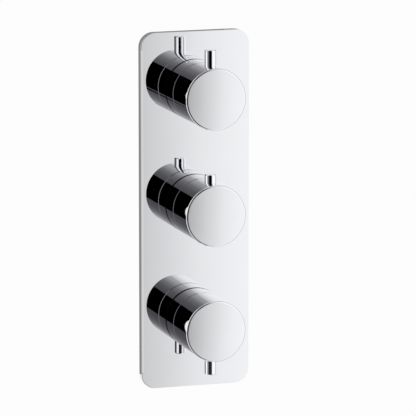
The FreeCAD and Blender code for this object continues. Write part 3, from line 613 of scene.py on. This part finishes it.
CHROME = PolishedChrome()
CAST_BRASS = CastBrass()
TURNED_BRASS = TurnedMetal()
BRIGHT_STEEL = TurnedMetal(colour=(0.60, 0.61, 0.63), shadow=(0.44, 0.45, 0.48), roughness=0.24)
ZINC = ZincPlatedSheet()
RUBBER = Rubber()
FOAM = CellFoam()
WHITE_PLASTIC = MouldedPlastic()
GREY_PLASTIC = MouldedPlastic(colour=(0.19, 0.20, 0.21), roughness=0.42)
CERAMIC = SinteredCeramic()


def paint(node: str, material: bpy.types.Material) -> None:
    """Give a CAD node its material in every slot.

    Args:
        node: the node's name.
        material: the material for it.
    """
    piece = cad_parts[node]
    if not piece.material_slots:
        piece.data.materials.append(material)
    for slot in piece.material_slots:
        slot.material = material
    LOG.info("finish %s: %s", node, material.name)


# --- Turned pieces worked out with numpy ---
PLAIN, THREADED, FLAT = 0, 1, -1


@dataclass(frozen=True)
class Thread:
    """A screw thread on part of a turned piece; a positive depth stands outwards."""

    start: float
    stop: float
    pitch: float
    depth: float
    land: float = 0.12

    def lift(self, station: np.ndarray, angle: np.ndarray) -> np.ndarray:
        """How far the thread moves the surface outwards.

        The height is a triangle wave of (station / pitch - angle / 2 pi), cut off by the land
        at its crest and its root, between 0 and 1. It is multiplied by the depth, and it fades
        to nothing over one pitch at both ends.

        Args:
            station: places along the axis, in metres.
            angle: places round the axis, in radians.

        Returns:
            The radial offset for each place, in metres.
        """
        phase = (station - self.start) / self.pitch - angle / (2 * np.pi)
        wave = 2 * np.abs(phase - np.floor(phase) - 0.5)
        height = np.clip((wave - self.land) / (1.0 - 2 * self.land), 0.0, 1.0)
        inside = np.minimum(station - self.start, self.stop - station) / self.pitch
        return height * self.depth * np.clip(inside, 0.0, 1.0)


@dataclass
class TurnedPiece:
    """A closed outline carried once round an axis, with a thread where the outline has one.

    Outline points numbered FLAT lie on spanner flats: their radius is that of the flats.
    """

    name: str
    origin: Triple
    axis: Triple
    outline: np.ndarray
    thread: Thread
    columns: int
    crease: float = 32.0

    def points(self) -> np.ndarray:
        """The surface: point(angle, station) = origin + axis * station + radius * (cos, sin).

        The radius is the outline's radius, plus the thread's lift where the outline point
        lies on the thread. On spanner flats it is divided by the cosine of the angle to the
        middle of the nearest flat.

        Returns:
            An array of columns x rows x 3 places, in metres.
        """
        angle = np.linspace(0.0, 2 * np.pi, self.columns, endpoint=False)[:, None]
        radius = np.repeat(self.outline[None, :, 0], self.columns, axis=0)
        station = np.repeat(self.outline[None, :, 1], self.columns, axis=0)
        surface = self.outline[None, :, 2]
        radius = radius + np.where(surface == THREADED, self.thread.lift(station, angle), 0.0)
        axis = np.array(self.axis, float)
        sixth = np.pi / 3
        off_flat = np.mod(angle + sixth / 2, sixth) - sixth / 2
        radius = radius / np.where(surface == FLAT, np.cos(off_flat), 1.0)
        side = np.cross(axis, (0.0, 0.0, 1.0) if abs(axis[2]) < 0.5 else (1.0, 0.0, 0.0))
        side /= np.linalg.norm(side)
        other = np.cross(axis, side)
        round_it = np.cos(angle)[..., None] * side + np.sin(angle)[..., None] * other
        return np.array(self.origin) + station[..., None] * axis + radius[..., None] * round_it

    def build(self) -> bpy.types.Object:
        """Make the mesh from the grid of places, with its faces pointing outwards.

        Returns:
            The new object, at the origin and unscaled.
        """
        grid = self.points()
        columns, rows = grid.shape[:2]
        index = np.arange(columns * rows).reshape(columns, rows)
        corners = np.stack([index, np.roll(index, -1, 1), np.roll(np.roll(index, -1, 0), -1, 1),
                            np.roll(index, -1, 0)], axis=-1).reshape(-1, 4)
        flat = grid.reshape(-1, 3)
        first, second, third, fourth = (flat[corners[:, i]] for i in range(4))
        volume = np.einsum("ij,ij->i", first, np.cross(second, third) + np.cross(third, fourth)).sum()
        if volume < 0:
            corners = corners[:, ::-1]
        piece = add_object(self.name, flat, corners.tolist())
        piece.data.validate()
        piece.data.shade_smooth()
        piece.data.set_sharp_from_angle(angle=math.radians(self.crease))
        return piece

    def stand_in(self, node: str, material: bpy.types.Material) -> None:
        """Build the piece in place of a plain brass node of the fixed body.

        Args:
            node: the CAD node that it replaces.
            material: its finish.
        """
        piece = self.build()
        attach(piece, "fixed_body")
        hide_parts(node)
        piece.data.materials.append(material)


def outline(*runs: Tuple[float, ...]) -> np.ndarray:
    """A closed outline from corners, with extra rows where the thread runs.

    Each corner is (radius, station, surface, rows). The run from this corner to the next has
    that surface, PLAIN if none is given, and that many evenly spaced rows, or else one.

    Args:
        runs: the corners in order, lengths in millimetres.

    Returns:
        An array of rows x 3: radius and station in metres and the surface's number.
    """
    corners = np.array([run[:2] for run in runs], float) * MM
    following = np.roll(corners, -1, axis=0)
    parts = []
    for run, here, there in zip(runs, corners, following):
        surface, rows = (*run[2:], *(PLAIN, 1)[len(run) - 2:])
        share = np.linspace(0.0, 1.0, rows, endpoint=False)[:, None]
        places = here + (there - here) * share
        parts.append(np.hstack([places, np.full((rows, 1), surface, float)]))
    return np.vstack(parts)


# --- Sub-assemblies ---
@dataclass
class Trim:
    """The polished plate, its foam seal, and each control's collar, knob and pin."""

    plate: str = "face_plate"
    gasket: str = "plate_gasket"
    # painted shade: darker chrome lines at the collar's front and back edges and the knob's back edge, in
    # the parting groove and at the joint with the plate
    collar_shade_lines: Tuple[Tuple[float, float], ...] = ((-0.0949, 0.62), (-0.0751, 0.12))
    knob_shade_lines: Tuple[Tuple[float, float], ...] = ((-0.0960, 0.22),)
    knob_edge: Tuple[float, float] = (-0.1330, -0.1345)

    def dress(self) -> None:
        """Put the finishes on the trim's nodes."""
        paint(self.plate, CHROME.material("polished_chrome_plate"))
        paint(self.gasket, FOAM.material("grey_foam_strip"))
        rubber = RUBBER.material("black_rubber_ring")
        grey_ring = GREY_PLASTIC.material("grey_glide_plastic")
        for control in Control:
            suffix = control.suffix
            paint(f"collar_{suffix}", CHROME.material(f"polished_chrome_collar_{suffix}", self.collar_shade_lines))
            edge = (control.height, *self.knob_edge)
            paint(f"knob_{suffix}", CHROME.material(f"polished_chrome_knob_{suffix}", self.knob_shade_lines, edge))
            paint(f"lever_pin_{suffix}", CHROME.material(f"polished_chrome_pin_{suffix}"))
            paint(f"collar_seal_{suffix}", rubber)
            paint(f"glide_ring_{suffix}", grey_ring)


@dataclass
class Drive:
    """What joins each knob to its spindle: set screw, splined insert and stop ring."""

    screw_depth: float = -0.1055

    def dress(self) -> None:
        """Put the finishes on the drive's nodes."""
        white = WHITE_PLASTIC.material("white_insert_plastic")
        dark = GREY_PLASTIC.material("grey_stop_plastic")
        for control in Control:
            suffix = control.suffix
            steel = BRIGHT_STEEL.material(f"set_screw_steel_{suffix}", (0.0, self.screw_depth, 0.0), Along.Z)
            paint(f"grub_screw_{suffix}", steel)
            paint(f"spline_adapter_{suffix}", white)
            paint(f"stop_ring_{suffix}", dark)


@dataclass
class Cartridges:
    """The two ceramic flow cartridges and the thermostatic one, with their threaded sleeves."""

    sleeve_outer: float = 22.5
    sleeve_bore: float = 17.0
    boss_radius: float = 21.0
    neck_opening: float = 11.4
    sleeve_front: float = -84.9
    sleeve_back: float = -48.5
    boss_front: float = -54.5
    flange_front: float = -60.5
    lip_front: float = -64.5
    thread_back: float = -60.0
    thread_pitch: float = 1.25
    thread_depth: float = 0.5
    thread_rows: int = 8
    front_chamfer: float = 0.3
    back_chamfer: float = 0.4
    runout: float = 0.5

    def sleeve(self, control: Control) -> TurnedPiece:
        """The sleeve nut with its outside thread for the collar.

        Args:
            control: the control it belongs to.

        Returns:
            The turned piece.
        """
        root = self.sleeve_outer - self.thread_depth
        rows = int((self.thread_back - self.sleeve_front) / self.thread_pitch * self.thread_rows)
        shape = outline(
            (self.sleeve_bore, self.sleeve_front),
            (root - self.front_chamfer, self.sleeve_front),
            (root, self.sleeve_front + self.front_chamfer, THREADED, rows),
            (root, self.thread_back),
            (self.sleeve_outer, self.thread_back + self.runout),
            (self.sleeve_outer, self.sleeve_back - self.back_chamfer),
            (self.sleeve_outer - self.back_chamfer, self.sleeve_back),
            (self.boss_radius, self.sleeve_back),
            (self.boss_radius, self.boss_front),
            (self.sleeve_bore, self.boss_front),
            (self.sleeve_bore, self.flange_front),
            (self.neck_opening, self.flange_front),
            (self.neck_opening, self.lip_front),
            (self.sleeve_bore, self.lip_front))
        thread = Thread(self.sleeve_front * MM, self.thread_back * MM, self.thread_pitch * MM,
                        self.thread_depth * MM)
        return TurnedPiece(f"threaded_sleeve_{control.suffix}", control.axis_point, (0.0, 1.0, 0.0),
                           shape, thread, columns=72)

    def build(self) -> None:
        """Make the threaded sleeves in place of the plain ones."""
        for control in Control:
            suffix = control.suffix
            brass = TURNED_BRASS.material(f"turned_brass_sleeve_{suffix}", control.axis_point)
            self.sleeve(control).stand_in(f"sleeve_{suffix}", brass)

    def dress(self) -> None:
        """Put the finishes on the cartridges' nodes."""
        rubber = RUBBER.material("black_rubber_seal")
        dark = GREY_PLASTIC.material("grey_housing_plastic")
        white = WHITE_PLASTIC.material("white_carrier_plastic")
        ceramic = CERAMIC.material("disc_ceramic")
        for control in (Control.TOP, Control.BOTTOM):
            suffix = control.suffix
            for piece in ("housing", "spindle"):
                paint(f"flow_{piece}_{suffix}", TURNED_BRASS.material(
                    f"turned_brass_{piece}_{suffix}", control.axis_point))
            paint(f"moving_disc_{suffix}", ceramic)
            paint(f"fixed_disc_{suffix}", ceramic)
            paint(f"base_seal_{suffix}", rubber)
        for control in Control:
            paint(f"housing_seal_{control.suffix}", rubber)
        for node, name in (("thermostat_housing", "thermostat_housing"), ("wax_element", "capsule"),
                           ("thermostat_spindle", "thermostat_spindle"), ("spring_retainer", "retainer")):
            paint(node, TURNED_BRASS.material(f"turned_brass_{name}", Control.MIDDLE.axis_point))
        paint("element_carrier", white)
        paint("mixing_shuttle", dark)


@dataclass
class ReturnSpring:
    """The coil spring behind the mixing shuttle; the real one shortens and lengthens as that slides, this
    mesh stays as wound.
    """

    coil_radius: float = 0.0066
    wire_radius: float = 0.0006
    turns: int = 3
    shuttle_end: float = -0.0285
    retainer_end: float = -0.0205
    grip: float = 0.0003
    steps_per_turn: int = 36
    section_points: int = 14

    def build(self) -> None:
        """Wind the spring in place of the stiff one.

        For an angle a round the axis the wire's middle lies at (R cos a, y0 + p a, z + R sin a),
        and its section is a circle square to the wire.
        """
        height = Control.MIDDLE.height
        first, last = self.shuttle_end + self.wire_radius, self.retainer_end - self.wire_radius
        angle = np.linspace(0.0, 2 * np.pi * self.turns, self.steps_per_turn * self.turns + 1)
        climb = (last - first) / angle[-1]
        radial = np.stack([np.cos(angle), np.zeros_like(angle), np.sin(angle)], axis=1)
        run = np.stack([-self.coil_radius * np.sin(angle), np.full_like(angle, climb),
                        self.coil_radius * np.cos(angle)], axis=1)
        across = np.cross(radial, run / np.linalg.norm(run, axis=1)[:, None])
        middle = radial * self.coil_radius + np.stack(
            [np.zeros_like(angle), first + climb * angle, np.full_like(angle, height)], axis=1)
        section = np.linspace(0.0, 2 * np.pi, self.section_points, endpoint=False)
        outward = np.cos(section)[None, :, None] * radial[:, None]
        sideways = np.sin(section)[None, :, None] * across[:, None]
        places = middle[:, None] + self.wire_radius * (outward + sideways)
        corner = np.arange(len(angle) * len(section)).reshape(len(angle), len(section))
        following = np.roll(corner, -1, axis=1)
        sides = np.stack([corner[:-1], following[:-1], following[1:], corner[1:]], axis=-1).reshape(-1, 4)
        faces = sides.tolist() + [corner[0, ::-1].tolist(), corner[-1].tolist()]
        spring = add_object("wound_return_spring", places.reshape(-1, 3), faces)
        spring.data.polygons.foreach_set("use_smooth", [True] * len(sides) + [False, False])
        spring.data.materials.append(
            BRIGHT_STEEL.material("drawn_spring_steel", Control.MIDDLE.axis_point))
        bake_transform(spring)
        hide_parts("return_spring")


@dataclass
class Waterway:
    """The brass body, its plug, the pipe unions with their threads, and the wall bracket."""

    union_radius: float = 12.5
    union_length: float = 13.0
    flats_length: float = 9.0
    collar_step: float = 0.8
    crest_radius: float = 9.3
    root_radius: float = 10.45
    spigot_radius: float = 10.4
    spigot_length: float = 4.0
    waterway_radius: float = 7.5
    pocket_radius: float = 8.9
    pocket_depth: float = 1.2
    pitch: float = 1.814
    thread_length: float = 11.6
    thread_rows: int = 10
    mouth_chamfer: float = 0.3
    flats_chamfer: float = 0.2
    plug_centre: Triple = (0.0, -0.0115, -0.12)
    screw_centre: Triple = (0.011, 0.0, 0.0565)
    seats: Dict[str, Tuple[Triple, Triple]] = field(default_factory=lambda: {
        "hot_inlet": ((-0.021, -0.0325, 0.005), (-1.0, 0.0, 0.0)),
        "cold_inlet": ((0.021, -0.0325, 0.005), (1.0, 0.0, 0.0)),
        "top_outlet": ((0.0, -0.0355, 0.133), (0.0, 0.0, 1.0)),
        "bottom_outlet": ((0.0, -0.0355, -0.123), (0.0, 0.0, -1.0))})

    def union(self, place: str) -> TurnedPiece:
        """A pipe union with its inside thread.

        Args:
            place: which of the four it is.

        Returns:
            The turned piece.
        """
        origin, axis = self.seats[place]
        top, spigot = self.union_length, -self.spigot_length
        collar = self.union_radius - self.collar_step
        first = top - self.thread_length
        rows = int(self.thread_length / self.pitch * self.thread_rows)
        shape = outline(
            (self.root_radius, top),
            (collar - self.mouth_chamfer, top),
            (collar, top - self.mouth_chamfer),
            (collar, self.flats_length),
            (self.union_radius - self.flats_chamfer, self.flats_length, FLAT),
            (self.union_radius, self.flats_length - self.flats_chamfer, FLAT),
            (self.union_radius, self.flats_chamfer, FLAT),
            (self.union_radius - self.flats_chamfer, 0.0, FLAT),
            (self.spigot_radius, 0.0),
            (self.spigot_radius, spigot),
            (self.pocket_radius, spigot),
            (self.pocket_radius, spigot + self.pocket_depth),
            (self.waterway_radius, spigot + self.pocket_depth),
            (self.waterway_radius, 0.0),
            (self.root_radius, 0.0),
            (self.root_radius, first, THREADED, rows))
        thread = Thread(first * MM, top * MM, self.pitch * MM, (self.crest_radius - self.root_radius) * MM)
        return TurnedPiece(f"threaded_union_{place}", origin, axis, shape, thread, columns=84)

    def build(self) -> None:
        """Make the threaded unions in place of the plain ones."""
        for place, (origin, axis) in self.seats.items():
            along = Along.X if abs(axis[0]) > 0.5 else Along.Z
            brass = TURNED_BRASS.material(f"turned_brass_{place}", origin, along)
            self.union(place).stand_in(f"{place}_union", brass)

    def dress(self) -> None:
        """Put the finishes on the body's nodes."""
        paint("valve_body", CAST_BRASS.material("cast_brass_body"))
        paint("gallery_plug", TURNED_BRASS.material("turned_brass_plug", self.plug_centre, Along.Z))
        paint("wall_bracket", ZINC.material("zinc_plated_bracket"))
        paint("bracket_screws", BRIGHT_STEEL.material("bracket_screw_steel", self.screw_centre))
        for side in ("hot", "cold"):
            centre = self.seats[f"{side}_inlet"][0]
            paint(f"{side}_inlet_filter", BRIGHT_STEEL.material(f"{side}_strainer_steel", centre, Along.X))


# --- Studio ---
@dataclass
class Card:
    """A glowing strip between two rows of corners, which only the polished metal sees."""

    name: str
    lower: Sequence[Triple]
    upper: Sequence[Triple]
    tone: int = 255

    @classmethod
    def upright(cls, name: str, start: Triple, stop: Triple, tone: int = 255) -> "Card":
        """A card with upright sides between two opposite corners.

        Args:
            name: its name.
            start: the lower corner where it starts.
            stop: the upper corner where it stops.
            tone: its 8-bit tone.

        Returns:
            The card, not yet built.
        """
        bottom, top = start[2], stop[2]
        return cls(name, [start, (*stop[:2], bottom)], [(*start[:2], top), stop], tone)

    def colour(self, board: Board) -> Setting:
        """One tone all over."""
        return even(self.tone)

    def build(self) -> None:
        """Make the card and hide it from the camera and from soft light."""
        count = len(self.lower)
        first = np.arange(count - 1)
        quads = np.stack([first, first + 1, first + 1 + count, first + count], axis=1)
        card = add_object(self.name, np.vstack([self.lower, self.upper]), quads.tolist())
        board = Board(f"{self.name}_glow")
        glow = board.add("ShaderNodeEmission", {"Color": self.colour(board), "Strength": 1.0})
        card.data.materials.append(board.finish(glow.outputs[0]))
        for ray in ("camera", "diffuse", "shadow", "transmission", "volume_scatter"):
            setattr(card, f"visible_{ray}", False)


class SideCard(Card):
    """A card that goes from grey at its left to white at its right, by stops along X."""

    stops = ((0.128, 0.26), (0.14, 0.44), (0.151, 0.532), (0.181, 0.652), (0.19, 0.692), (0.2105, 0.757),
             (0.227, 0.813), (0.244, 0.872), (0.261, 0.908), (0.278, 0.943), (0.295, 0.968), (0.33, 1.01),
             (0.4, 1.08), (0.75, 1.1))
    blue = 1.01

    def colour(self, board: Board) -> Setting:
        """The ramp's colour, a little blue."""
        colours = [(place, (level, level, level * self.blue)) for place, level in self.stops]
        return board.tones(board.axes(board.place)[0], colours)


class EdgeLine(Card):
    """A narrow card that is white towards the knobs and pale grey towards the plate."""

    knob_side = 250
    plate_side = 221

    def colour(self, board: Board) -> Setting:
        """The tone of the side that is looked at."""
        back = board.add("ShaderNodeNewGeometry").outputs["Backfacing"]
        return board.blend(back, even(self.knob_side), even(self.plate_side))


@dataclass(frozen=True)
class Panel:
    """A black panel on two feet round the camera, with a round pale window straight ahead.

    A place across is x / -y of the direction from the valve, and a height is its z. The width,
    the height, the feet's height and the gap between the feet are each a middle and a reach.
    """

    width: Tuple[float, float] = (-0.40, 0.62)
    height: Tuple[float, float] = (0.0197, 0.2453)
    feet: Tuple[float, float] = (-0.2, 0.062)
    gap: Tuple[float, float] = (-0.29, 0.07)
    window_edge: Tuple[float, float] = (0.10, 0.135)
    window_fall: Tuple[float, float] = (-0.12, 0.12)
    window_low: Triple = (0.36, 0.365, 0.37)
    window_high: Triple = (0.86, 0.865, 0.87)

    def over(self, board: Board, direction: Socket, room: Socket) -> Socket:
        """Lay the panel over the room.

        The window is darker below than above, and its edge is soft.

        Args:
            board: the node tree to add to.
            direction: the direction as a unit vector.
            room: the room's colour in that direction.

        Returns:
            The colour of the room or the panel.
        """
        side, depth, up = board.axes(direction)
        ahead = board.math("MAXIMUM", board.math("MULTIPLY", depth, -1.0), 0.001)
        across = board.math("DIVIDE", side, ahead)
        on_feet = board.math("GREATER_THAN", board.within(up, *self.feet), board.within(across, *self.gap))
        level = board.math("MAXIMUM", board.within(up, *self.height), on_feet)
        inside = board.math("MULTIPLY", board.within(across, *self.width), level)
        sideways = board.add("ShaderNodeCombineXYZ", {"0": side, "2": up}).outputs[0]
        off_axis = board.add("ShaderNodeVectorMath", {"0": sideways}, operation="LENGTH").outputs["Value"]
        window = board.blend(board.spread(up, 0.0, 1.0, *self.window_fall),
                             self.window_low, self.window_high)
        panel = board.blend(board.spread(off_axis, 0.0, 1.0, *self.window_edge), window, even(0))
        return board.blend(inside, room, panel)


@dataclass
class Studio:
    """Floor, surroundings, soft lights, reflected cards and the camera."""

    floor_height: float = -1.9
    floor_reach: float = 30.0
    floor_paint: float = 0.9
    floor_glow: float = 0.95
    ambient: float = 0.62
    target: Triple = (0.00343, -0.100, 0.00621)
    azimuth: float = -17.98
    elevation: float = 10.74
    distance: float = 3.348
    lens: float = 328.9
    sensor: float = 36.0
    panel: Panel = Panel()
    room: Tuple[Tuple[float, int], ...] = (
        (-180, 244), (-152, 244), (-146, 130), (-138, 130), (-129, 236), (-112, 262), (-96, 264),
        (-88, 240), (-82, 182), (-72, 138), (-64, 118), (-52, 108), (-39, 92), (-29, 64), (-16, 74),
        (-8, 88), (0, 116), (8, 162), (15.6, 206), (31, 242), (42, 262), (84, 262), (92, 244),
        (112, 228), (122, 186), (150, 186), (160, 200), (180, 244))
    ceiling_share: float = 0.4
    ceiling_rise: Tuple[float, float] = (0.7, 0.9)
    ceiling_colour: Triple = (0.28, 0.28, 0.29)
    lamp_size: float = 1.8
    lamps: Tuple[Tuple[str, Triple, float], ...] = (
        ("soft_key", (-1.4, -2.2, 2.0), 26.0), ("soft_fill", (1.8, 1.2, 1.0), 12.0))
    plate_half: Tuple[float, float] = (0.05, 0.16)
    corner_radius: float = 0.013
    rim_depth: float = -0.07
    band_depth: float = 0.5
    band_reach: Tuple[float, float] = (0.017, 0.0272)

    @property
    def back(self) -> Triple:
        """The direction from the valve to the camera."""
        azimuth, elevation = math.radians(self.azimuth), math.radians(self.elevation)
        return (math.sin(azimuth) * math.cos(elevation), -math.cos(azimuth) * math.cos(elevation),
                math.sin(elevation))

    def surroundings(self) -> None:
        """A world that shows the room to what looks at it and gives all else an even light."""
        board = Board("pale_surroundings", world=True)
        light = board.add("ShaderNodeBackground", {"Color": even(255), "Strength": self.ambient})
        tone = self.room_tone(board, board.place)
        view = board.add("ShaderNodeBackground", {"Color": tone, "Strength": 1.0})
        bpy.context.scene.world = board.finish(board.add("ShaderNodeMixShader", {
            "0": board.seen_directly(), "1": light.outputs[0], "2": view.outputs[0]}).outputs[0])

    def room_tone(self, board: Board, direction: Socket) -> Socket:
        """What the camera and polished metal see of the room in one direction.

        The tone goes by the bearing round the valve, atan2(x, -y), which is nought straight in
        front and grows to the right. The black panel stands before it, and the ceiling is pale
        grey. The camera itself sees only white.

        Args:
            board: the node tree to add to.
            direction: the direction as a unit vector.

        Returns:
            The tone as a colour.
        """
        side, depth, up = board.axes(direction)
        bearing = board.math("DEGREES", board.math("ARCTAN2", side, board.math("MULTIPLY", depth, -1.0)))
        room = self.panel.over(board, direction, board.tones(bearing, self.room))
        ceiling = board.spread(up, 0.0, self.ceiling_share, *self.ceiling_rise)
        room = board.blend(ceiling, room, self.ceiling_colour)
        path = board.add("ShaderNodeLightPath")
        return board.blend(path.outputs["Is Camera Ray"], room, even(255))

    def floor(self) -> None:
        """A wide pale floor that keeps the object's soft shadow."""
        reach, height = self.floor_reach, self.floor_height
        places = np.array([(-reach, -reach, height), (reach, -reach, height),
                           (reach, reach, height), (-reach, reach, height)])
        floor = add_object("pale_floor", places, [(0, 1, 2, 3)])
        board = Board("pale_floor_paint")
        matt = board.add("ShaderNodeBsdfDiffuse", {"Color": (self.floor_paint,) * 3}).outputs[0]
        outward = board.add("ShaderNodeVectorMath", {"0": board.place}, operation="NORMALIZE").outputs[0]
        tone = self.room_tone(board, outward)
        glow = board.add("ShaderNodeEmission", {"Color": tone, "Strength": 1.0}).outputs[0]
        mirrored = board.add("ShaderNodeLightPath").outputs["Is Glossy Ray"]
        seen = board.math("MULTIPLY", board.seen_directly(), self.floor_glow)
        share = board.math("MAXIMUM", seen, mirrored)
        floor.data.materials.append(board.finish(board.add("ShaderNodeMixShader", {
            "0": share, "1": matt, "2": glow}).outputs[0]))

    def lamp(self, name: str, place: Triple, power: float) -> None:
        """A large soft light aimed at the valve, which polished metal doesn't show.

        Args:
            name: the light's name.
            place: where it stands.
            power: its power in watts.
        """
        data = bpy.data.lights.new(name, "AREA")
        data.size = self.lamp_size
        data.energy = power
        light = bpy.data.objects.new(name, data)
        light.location = place
        light.rotation_euler = (Vector(self.target) - Vector(place)).to_track_quat("-Z", "Y").to_euler()
        light.visible_glossy = False
        bpy.context.scene.collection.objects.link(light)

    def cards(self) -> None:
        """The cards whose reflections give the metal its tones."""
        SideCard.upright("pale_side_card", (0.128, -0.8235, -0.60), (0.750, -0.8235, 0.50)).build()
        Card.upright("right_edge_card", (0.15, -0.06, -0.5), (0.15, 0.3, 0.5), 165).build()
        EdgeLine.upright("left_edge_card", (-0.0505, -0.0745, -0.145), (-0.0475, -0.0745, 0.145)).build()
        self.rear_band(138)

    def rear_band(self, tone: int) -> None:
        """The grey band behind the wall side that the plate's rim reflects.

        For an angle a round the plate's top left corner, the rim faces (-cos a, 0, sin a), and
        the camera's view is mirrored there. The band's middle is where the mirrored view meets a
        plane behind the valve. It runs on down the left side and along the top.

        Args:
            tone: the band's 8-bit tone.
        """
        half_width, half_height = self.plate_half
        straight_x, straight_z = half_width - self.corner_radius, half_height - self.corner_radius
        eye = np.array(self.target) + np.array(self.back) * self.distance
        turn = np.radians(np.linspace(0.0, 90.0, 25))
        faces = np.stack([-np.cos(turn), np.zeros_like(turn), np.sin(turn)], axis=1)
        corner = faces * self.corner_radius + np.array([-straight_x, self.rim_depth, straight_z])
        faces = np.vstack([faces[:1], faces, faces[-1:]])
        rim = np.vstack([[-half_width, self.rim_depth, -straight_z], corner,
                         [straight_x, self.rim_depth, half_height]])
        sight = rim - eye
        sight /= np.linalg.norm(sight, axis=1)[:, None]
        mirrored = sight - 2 * (faces * sight).sum(axis=1)[:, None] * faces
        middle = rim + mirrored * ((self.band_depth - rim[:, 1]) / mirrored[:, 1])[:, None]
        outside, inside = self.band_reach
        Card("rear_band", middle + faces * outside, middle - faces * inside, tone).build()

    def camera(self) -> None:
        """The camera that matches the photograph's view, without shift or blur."""
        back = Vector(self.back)
        data = bpy.data.cameras.new("photo_camera")
        data.lens = self.lens
        data.sensor_width = self.sensor
        data.sensor_fit = "HORIZONTAL"
        data.clip_end = 100.0
        camera = bpy.data.objects.new("photo_camera", data)
        camera.location = Vector(self.target) + back * self.distance
        camera.rotation_euler = back.to_track_quat("Z", "Y").to_euler()
        bpy.context.scene.collection.objects.link(camera)
        bpy.context.scene.camera = camera

    def build(self) -> None:
        """Set up the whole studio."""
        bpy.context.scene.view_settings.view_transform = "Standard"
        self.surroundings()
        self.floor()
        for lamp in self.lamps:
            self.lamp(*lamp)
        self.cards()
        self.camera()


def main() -> None:
    """Build the added pieces, dress every piece and set up the studio."""
    logging.basicConfig(level=logging.INFO, format="%(message)s")
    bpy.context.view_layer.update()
    cartridges, waterway = Cartridges(), Waterway()
    cartridges.build()
    ReturnSpring().build()
    waterway.build()
    for assembly in (Trim(), Drive(), cartridges, waterway):
        assembly.dress()
        LOG.info("dressed %s", type(assembly).__name__)
    Studio().build()


if __name__ == "__main__":
    main()
